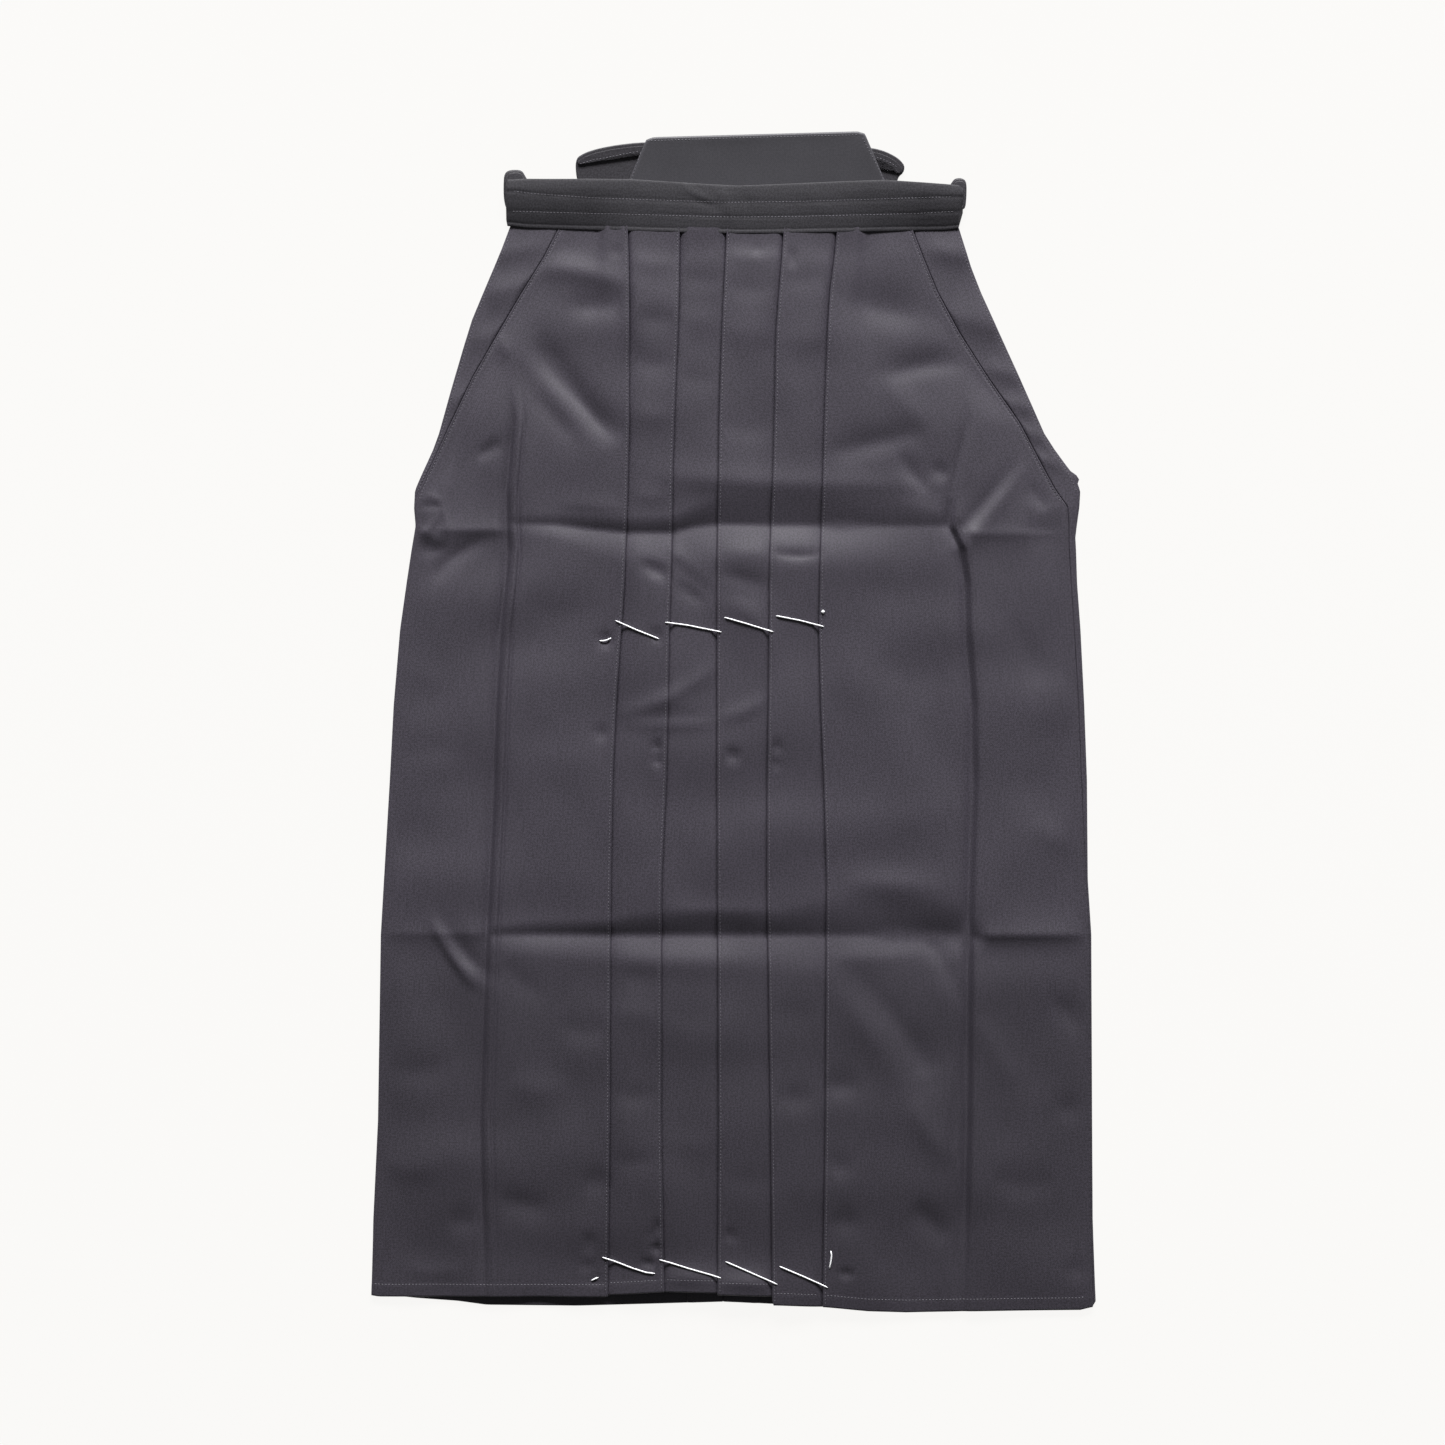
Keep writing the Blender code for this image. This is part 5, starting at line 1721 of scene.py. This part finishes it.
class TROUSERS_OT_straps(bpy.types.Operator):
    """Four straps folded on themselves: two from the back board and two from the waistband"""

    bl_idname = "trousers.straps"
    bl_label = "Folded straps"

    def execute(self, context):
        cloth = strap_material()
        back_right = add_strap(
            "back_strap_right",
            ((BACK_STRAP_RIGHT, BACK_STRAP_LAYERS), (BACK_ROLL_RIGHT, BACK_ROLL_LAYERS)),
            under_board, cloth,
        )
        back_left = add_strap(
            "back_strap_left",
            ((BACK_STRAP_LEFT, BACK_STRAP_LAYERS), (BACK_ROLL_LEFT, BACK_ROLL_LAYERS)),
            under_board, cloth,
        )
        front_right = add_strap(
            "front_strap_right", ((FRONT_STRAP_RIGHT, FRONT_STRAP_LAYERS),), under_band, cloth
        )
        front_left = add_strap(
            "front_strap_left", ((FRONT_STRAP_LEFT, FRONT_STRAP_LAYERS),), under_band, cloth
        )
        return {"FINISHED"}


def surface_trees(names):
    """A search tree over the faces of each of these pieces."""
    graph = bpy.context.evaluated_depsgraph_get()
    return [BVHTree.FromObject(bpy.data.objects[name], graph) for name in names]


def surface_heights(trees, places, from_below):
    """Height of the outermost surface at each place, seen from above or from the floor."""
    side = -1.0 if from_below else 1.0
    heights = []
    for x, up in places:
        start = Vector((x, up - LENGTH / 2, side * SEARCH_HEIGHT)) * MM
        hits = [tree.ray_cast(start, Vector((0.0, 0.0, -side)))[0] for tree in trees]
        found = [side * hit.z / MM for hit in hits if hit is not None]
        heights.append(side * max(found) if found else np.nan)
    return np.array(heights)


def places_along(line, distances):
    """Places on a line through the given points, at these distances from its start."""
    points = np.array(line, dtype=float)
    run = np.concatenate([[0.0], np.cumsum(np.hypot(*np.diff(points, axis=0).T))])
    return np.stack([np.interp(distances, run, points[:, k]) for k in (0, 1)], axis=1)


def line_length(line):
    """Length of a line through the given points."""
    return np.sum(np.hypot(*np.diff(np.array(line, dtype=float), axis=0).T))


def stitch_mesh(starts, ends):
    """Points and faces of small spindles from starts to ends: two tips and two rings of four each.

    A ring's points are right, top, left and bottom of the stitch's own direction.
    """
    ahead = ends - starts
    ahead /= np.linalg.norm(ahead, axis=1, keepdims=True)
    right = np.stack([ahead[:, 1], -ahead[:, 0], np.zeros(len(ahead))], axis=1) * STITCH_WIDE
    top = np.array([0.0, 0.0, STITCH_HIGH])
    parts = [starts]
    for share in STITCH_RINGS:
        middle = starts + (ends - starts) * share
        parts += [middle + right, middle + top, middle - right, middle - top]
    parts.append(ends)
    points = np.stack(parts, axis=1)
    first = 10 * np.arange(len(starts))[:, None, None]
    ring = np.arange(4)
    ahead_ring = (ring + 1) % 4
    start_cap = np.stack([np.zeros(4, int), 1 + ring, 1 + ahead_ring], axis=1)
    end_cap = np.stack([np.full(4, 9), 5 + ahead_ring, 5 + ring], axis=1)
    side = np.stack([1 + ring, 5 + ring, 5 + ahead_ring, 1 + ahead_ring], axis=1)
    triangles = (first + np.concatenate([start_cap, end_cap])).reshape(-1, 3)
    quads = (first + side).reshape(-1, 4)
    return points.reshape(-1, 3), [triangles, quads]


def add_stitches(name, lines, pieces, from_below=False):
    """Rows of stitches along lines, each stitch lying on the surface of the pieces below it."""
    trees = surface_trees(pieces)
    starts, ends = [], []
    for line in lines:
        first = np.arange(STITCH_FIRST, line_length(line) - STITCH_LENGTH, STITCH_PITCH)
        starts.append(places_along(line, first))
        ends.append(places_along(line, first + STITCH_LENGTH))
    starts, ends = np.concatenate(starts), np.concatenate(ends)
    z_start = surface_heights(trees, starts, from_below)
    z_end = surface_heights(trees, ends, from_below)
    found = np.isfinite(z_start) & np.isfinite(z_end)
    found &= np.abs(z_start - z_end) < STITCH_STEEPEST
    points, faces = stitch_mesh(
        np.column_stack([starts, z_start])[found], np.column_stack([ends, z_end])[found]
    )
    return add_mesh(name, points, faces, points[:, :2], thread_material())


def edge_line(place, start, end, step=20.0):
    """A line along the length, whose x is a function of up."""
    ups = np.linspace(start, end, max(2, int(abs(end - start) / step) + 1))
    return [(float(place(up)), up) for up in ups]


def hem_line(table, start, end, above, step=6.0):
    """A line that runs above a hem from one x to another."""
    xs = np.arange(start, end, step)
    return [(x, float(hem(table, x)) + above) for x in xs]


def front_lines():
    """Stitched lines of the fronts: their folds, slits and hems."""
    lines = []
    for name, facing in FOLD_FACINGS:
        hem_table = FRONT_HEM_RIGHT if name in ("fold_1", "fold_2") else FRONT_HEM_LEFT
        low = float(hem(hem_table, front(name, 0.0) - facing * FOLD_MARGIN)) + HEM_MARGIN
        inside = facing * FOLD_STITCH
        lines.append(
            edge_line(lambda up, name=name, inside=inside: front(name, up) - inside, STITCH_TOP, low)
        )
    for name, inside in (("right_side", SLIT_STITCH), ("left_side", -SLIT_STITCH)):
        lines.append(
            edge_line(
                lambda up, name=name, inside=inside: front(name, up) + inside,
                SLIT_STITCH_TOP, SLIT_STITCH_END,
            )
        )
    right = [front(name, 0.0) for name in ("right_side", "fold_1", "fold_2", "fold_3")]
    left = [front(name, 0.0) for name in ("fold_3", "fold_4", "fold_5", "left_side")]
    for start, end in zip(right[:-1], right[1:]):
        lines.append(
            hem_line(FRONT_HEM_RIGHT, start + HEM_MARGIN, end - STRIP_MARGIN, HEM_STITCH)
        )
    for start, end in zip(left[:-1], left[1:]):
        lines.append(
            hem_line(FRONT_HEM_LEFT, start + FOLD_MARGIN, end - STRIP_MARGIN, HEM_STITCH)
        )
    return lines


def back_lines():
    """Stitched lines of the backs, seen from below: their hem and the seam beside their folds."""
    return [
        hem_line(BACK_HEM, -BACK_STITCH_SIDE, BACK_FOLD_X - FOLD_MARGIN, HEM_STITCH),
        hem_line(BACK_HEM, BACK_FOLD_X + FOLD_MARGIN, BACK_STITCH_SIDE, HEM_STITCH),
        edge_line(lambda up: BACK_FOLD_X - BACK_STITCH, BACK_STITCH_TOP, BACK_STITCH_END),
        edge_line(lambda up: BACK_FOLD_X + BACK_STITCH, BACK_STITCH_TOP, BACK_STITCH_END),
    ]


def slit_lines():
    """Stitched lines on the backs, seen from above where the slits leave them bare."""
    return [
        edge_line(lambda up: back("right_side", up) + SLIT_STITCH, BARE_STITCH_TOP, SLIT_END_UP),
        edge_line(lambda up: back("left_side", up) - SLIT_STITCH, BARE_STITCH_TOP, SLIT_END_UP),
    ]


def ring_of(middle, ahead, radius, count=8):
    """Rings of points round a path's points, each square to the path and with its own radius."""
    right = np.stack([ahead[:, 1], -ahead[:, 0], np.zeros(len(ahead))], axis=1)
    right /= np.linalg.norm(right, axis=1, keepdims=True)
    top = np.cross(right, ahead)
    angle = np.linspace(0.0, 2.0 * np.pi, count, endpoint=False)[None, :, None]
    spread = right[:, None] * np.cos(angle) + top[:, None] * np.sin(angle)
    return middle[:, None] + spread * radius[:, None, None]


def tube(path, radius):
    """Points and faces of a closed tube round a path, rounded off at both ends.

    At the share s of the path its radius is sqrt(sin(pi s)) times the roundness, at least that of
    the tips and at most the whole one.
    """
    ahead = np.gradient(path, axis=0)
    ahead /= np.linalg.norm(ahead, axis=1, keepdims=True)
    place = np.linspace(0.0, 1.0, len(path))
    round_off = np.sqrt(np.sin(np.pi * place)) * THREAD_ROUND
    thick = radius * np.clip(round_off, THREAD_TIP, 1.0)
    rings = ring_of(path, ahead, thick)
    index = np.arange(rings.shape[0] * rings.shape[1]).reshape(rings.shape[:2])
    quads = np.concatenate([ring_faces(index[k], index[k + 1]) for k in range(len(path) - 1)])
    return rings.reshape(-1, 3), [quads, index[:1, ::-1], index[-1:]]


def thread_path(line, trees):
    """A thread's middle: over the cloth, pulled straight across its hollows, and into it at the ends."""
    count = max(5, int(line_length(line) / THREAD_STEP))
    distances = np.linspace(0.0, line_length(line), count)
    places = places_along(line, distances)
    z = surface_heights(trees, places, False)
    spread = np.maximum(z, np.maximum(np.roll(z, 1), np.roll(z, -1)))
    spread[0], spread[-1] = z[0], z[-1]
    padded = np.concatenate([spread[:1], spread[:1], spread, spread[-1:], spread[-1:]])
    even = np.convolve(padded, np.full(5, 0.2), mode="valid")
    end = np.clip(np.minimum(distances, distances[::-1]) / THREAD_END, 0.0, 1.0)
    return np.column_stack([places, even + THREAD_RADIUS * THREAD_PROUD * (2.0 * end - 1.0)])


def add_basting():
    """All basting threads and the knot at one end, lying on the fronts."""
    trees = surface_trees(["front_right_leg_cloth", "front_left_leg_cloth"])
    meshes = [tube(thread_path(line, trees), THREAD_RADIUS) for line in BASTING]
    meshes.append(tube(thread_path(KNOT, trees), KNOT_RADIUS))
    points, faces = merged(meshes)
    return add_mesh(
        "basting_threads", points, faces, points[:, :2], basting_material()
    )


def thread_material():
    return own_material(
        "sewing_thread", lambda: plain_finish("sewing_thread", colours().stitch, 0.6)
    )


def basting_material():
    return own_material(
        "basting_thread", lambda: plain_finish("basting_thread", colours().basting, 0.8)
    )


class TROUSERS_OT_stitches(bpy.types.Operator):
    """Stitches along folds, slits, hems, band, board and straps"""

    bl_idname = "trousers.stitches"
    bl_label = "Stitches"

    def execute(self, context):
        fronts = ["front_right_leg_cloth", "front_left_leg_cloth"]
        backs = ["back_right_leg_cloth", "back_left_leg_cloth"]
        add_stitches("front_stitches", front_lines(), fronts)
        add_stitches("back_stitches", back_lines(), backs, from_below=True)
        add_stitches("slit_stitches", slit_lines(), backs)
        add_stitches("band_stitches", (BAND_UPPER_LINE, BAND_LOWER_LINE), ["waistband_cloth"])
        add_stitches("board_stitches", BOARD_LINES, ["back_board_cover"])
        add_stitches(
            "strap_stitches", (BACK_STRAP_LINE, LEFT_STRAP_LINE),
            ["back_strap_right_cloth", "back_strap_left_cloth"],
        )
        return {"FINISHED"}


class TROUSERS_OT_basting(bpy.types.Operator):
    """White basting threads that still hold the pleats together"""

    bl_idname = "trousers.basting"
    bl_label = "Basting threads"

    def execute(self, context):
        add_basting()
        return {"FINISHED"}


class TROUSERS_OT_stage(bpy.types.Operator):
    """Pale floor, one soft lamp and the camera straight above"""

    bl_idname = "trousers.stage"
    bl_label = "Stage"

    def execute(self, context):
        add_floor()
        add_lamp()
        add_sky()
        add_camera()
        return {"FINISHED"}


def add_floor():
    """A square of lit paper just below the backs."""
    mesh = bpy.data.meshes.new("floor")
    half = FLOOR_HALF
    corners = [(-half, -half, 0.0), (half, -half, 0.0), (half, half, 0.0), (-half, half, 0.0)]
    mesh.from_pydata(corners, [], [(0, 1, 2, 3)])
    mesh.materials.append(lit_paper("floor_paper", colours().floor))
    floor = bpy.data.objects.new("floor", mesh)
    floor.location.z = -FLOOR_DROP
    bpy.context.scene.collection.objects.link(floor)


def add_lamp():
    """A long window of light far beyond the waist, low enough to rake the cloth."""
    data = bpy.data.lights.new("key", "AREA")
    data.shape = "RECTANGLE"
    data.size = KEY_WIDTH
    data.size_y = KEY_HEIGHT
    data.energy = KEY_POWER
    lamp = bpy.data.objects.new("key", data)
    lamp.location = KEY_PLACE
    direction = Vector(KEY_AIM) - Vector(KEY_PLACE)
    lamp.rotation_euler = direction.to_track_quat("-Z", "Y").to_euler()
    bpy.context.scene.collection.objects.link(lamp)


def add_sky():
    """Faint white light from all sides."""
    world = bpy.data.worlds.new("studio")
    world.use_nodes = True
    background = world.node_tree.nodes["Background"]
    background.inputs["Color"].default_value = (1.0, 1.0, 1.0, 1.0)
    background.inputs["Strength"].default_value = SKY_STRENGTH
    bpy.context.scene.world = world
    bpy.context.scene.view_settings.view_transform = "Standard"


def add_camera():
    """Camera straight above the middle of the photographed square, which is as wide as the photo."""
    width = PHOTO_SIDE * MM_PER_PIXEL * MM
    data = bpy.data.cameras.new("camera")
    data.sensor_fit = "HORIZONTAL"
    data.angle = 2.0 * np.arctan(width / 2 / (CAMERA_HEIGHT - CLOTH_HEIGHT))
    camera = bpy.data.objects.new("camera", data)
    camera.location = (CAMERA_X, CAMERA_Y, CAMERA_HEIGHT)
    bpy.context.scene.collection.objects.link(camera)
    bpy.context.scene.camera = camera


class TrouserSizes(bpy.types.PropertyGroup):
    """Sizes that change the whole garment"""

    cloth: FloatProperty(
        name="Cloth", description="Thickness of the cloth", default=0.0008, unit="LENGTH",
        min=0.0004, max=0.001,
    )
    puff: FloatProperty(
        name="Puff", description="How far the front rises between its storage creases",
        default=0.0044, unit="LENGTH", min=0.0, max=0.006,
    )


class TrouserColours(bpy.types.PropertyGroup):
    """Colours of the cloths, the threads and the floor"""

    cloth: FloatVectorProperty(
        name="Front", description="Colour of the front legs", subtype="COLOR", size=3,
        default=(0.037, 0.0322, 0.0435),
    )
    back: FloatVectorProperty(
        name="Back", description="Colour of the back legs and the gusset", subtype="COLOR", size=3,
        default=(0.038, 0.0332, 0.0445),
    )
    band: FloatVectorProperty(
        name="Band", description="Colour of the waistband", subtype="COLOR", size=3,
        default=(0.031, 0.0295, 0.034),
    )
    board: FloatVectorProperty(
        name="Board", description="Colour of the back board", subtype="COLOR", size=3,
        default=(0.045, 0.0435, 0.050),
    )
    strap: FloatVectorProperty(
        name="Straps", description="Colour of the folded straps", subtype="COLOR", size=3,
        default=(0.032, 0.030, 0.035),
    )
    stitch: FloatVectorProperty(
        name="Stitches", description="Colour of the sewing thread", subtype="COLOR", size=3,
        default=(0.085, 0.08, 0.095),
    )
    basting: FloatVectorProperty(
        name="Basting", description="Colour of the basting threads", subtype="COLOR", size=3,
        default=(0.86, 0.86, 0.88),
    )
    floor: FloatVectorProperty(
        name="Floor", description="Colour of the floor", subtype="COLOR", size=3,
        default=(0.965, 0.956, 0.94),
    )


class TROUSERS_PT_panel(bpy.types.Panel):
    """Sizes, colours and one button for each group of pieces"""

    bl_idname = "TROUSERS_PT_panel"
    bl_label = "Pleated trousers"
    bl_space_type = "VIEW_3D"
    bl_region_type = "UI"
    bl_category = "Trousers"

    def draw(self, context):
        for group in (context.scene.trouser_sizes, context.scene.trouser_colours):
            for name in group.__annotations__:
                self.layout.prop(group, name)
        for operator in OPERATORS:
            self.layout.operator(operator.bl_idname)


OPERATORS = (
    TROUSERS_OT_stage, TROUSERS_OT_backs, TROUSERS_OT_gusset, TROUSERS_OT_fronts,
    TROUSERS_OT_waistband, TROUSERS_OT_board, TROUSERS_OT_straps, TROUSERS_OT_stitches,
    TROUSERS_OT_basting,
)
CLASSES = (TrouserSizes, TrouserColours) + OPERATORS + (TROUSERS_PT_panel,)


def register():
    for item in CLASSES:
        bpy.utils.register_class(item)
    bpy.types.Scene.trouser_sizes = PointerProperty(type=TrouserSizes)
    bpy.types.Scene.trouser_colours = PointerProperty(type=TrouserColours)


def unregister():
    del bpy.types.Scene.trouser_colours
    del bpy.types.Scene.trouser_sizes
    for item in reversed(CLASSES):
        bpy.utils.unregister_class(item)


def main():
    register()
    bpy.ops.trousers.stage()
    bpy.ops.trousers.backs()
    bpy.ops.trousers.gusset()
    bpy.ops.trousers.fronts()
    bpy.ops.trousers.waistband()
    bpy.ops.trousers.board()
    bpy.ops.trousers.straps()
    bpy.ops.trousers.stitches()
    bpy.ops.trousers.basting()


if __name__ == "__main__":
    main()
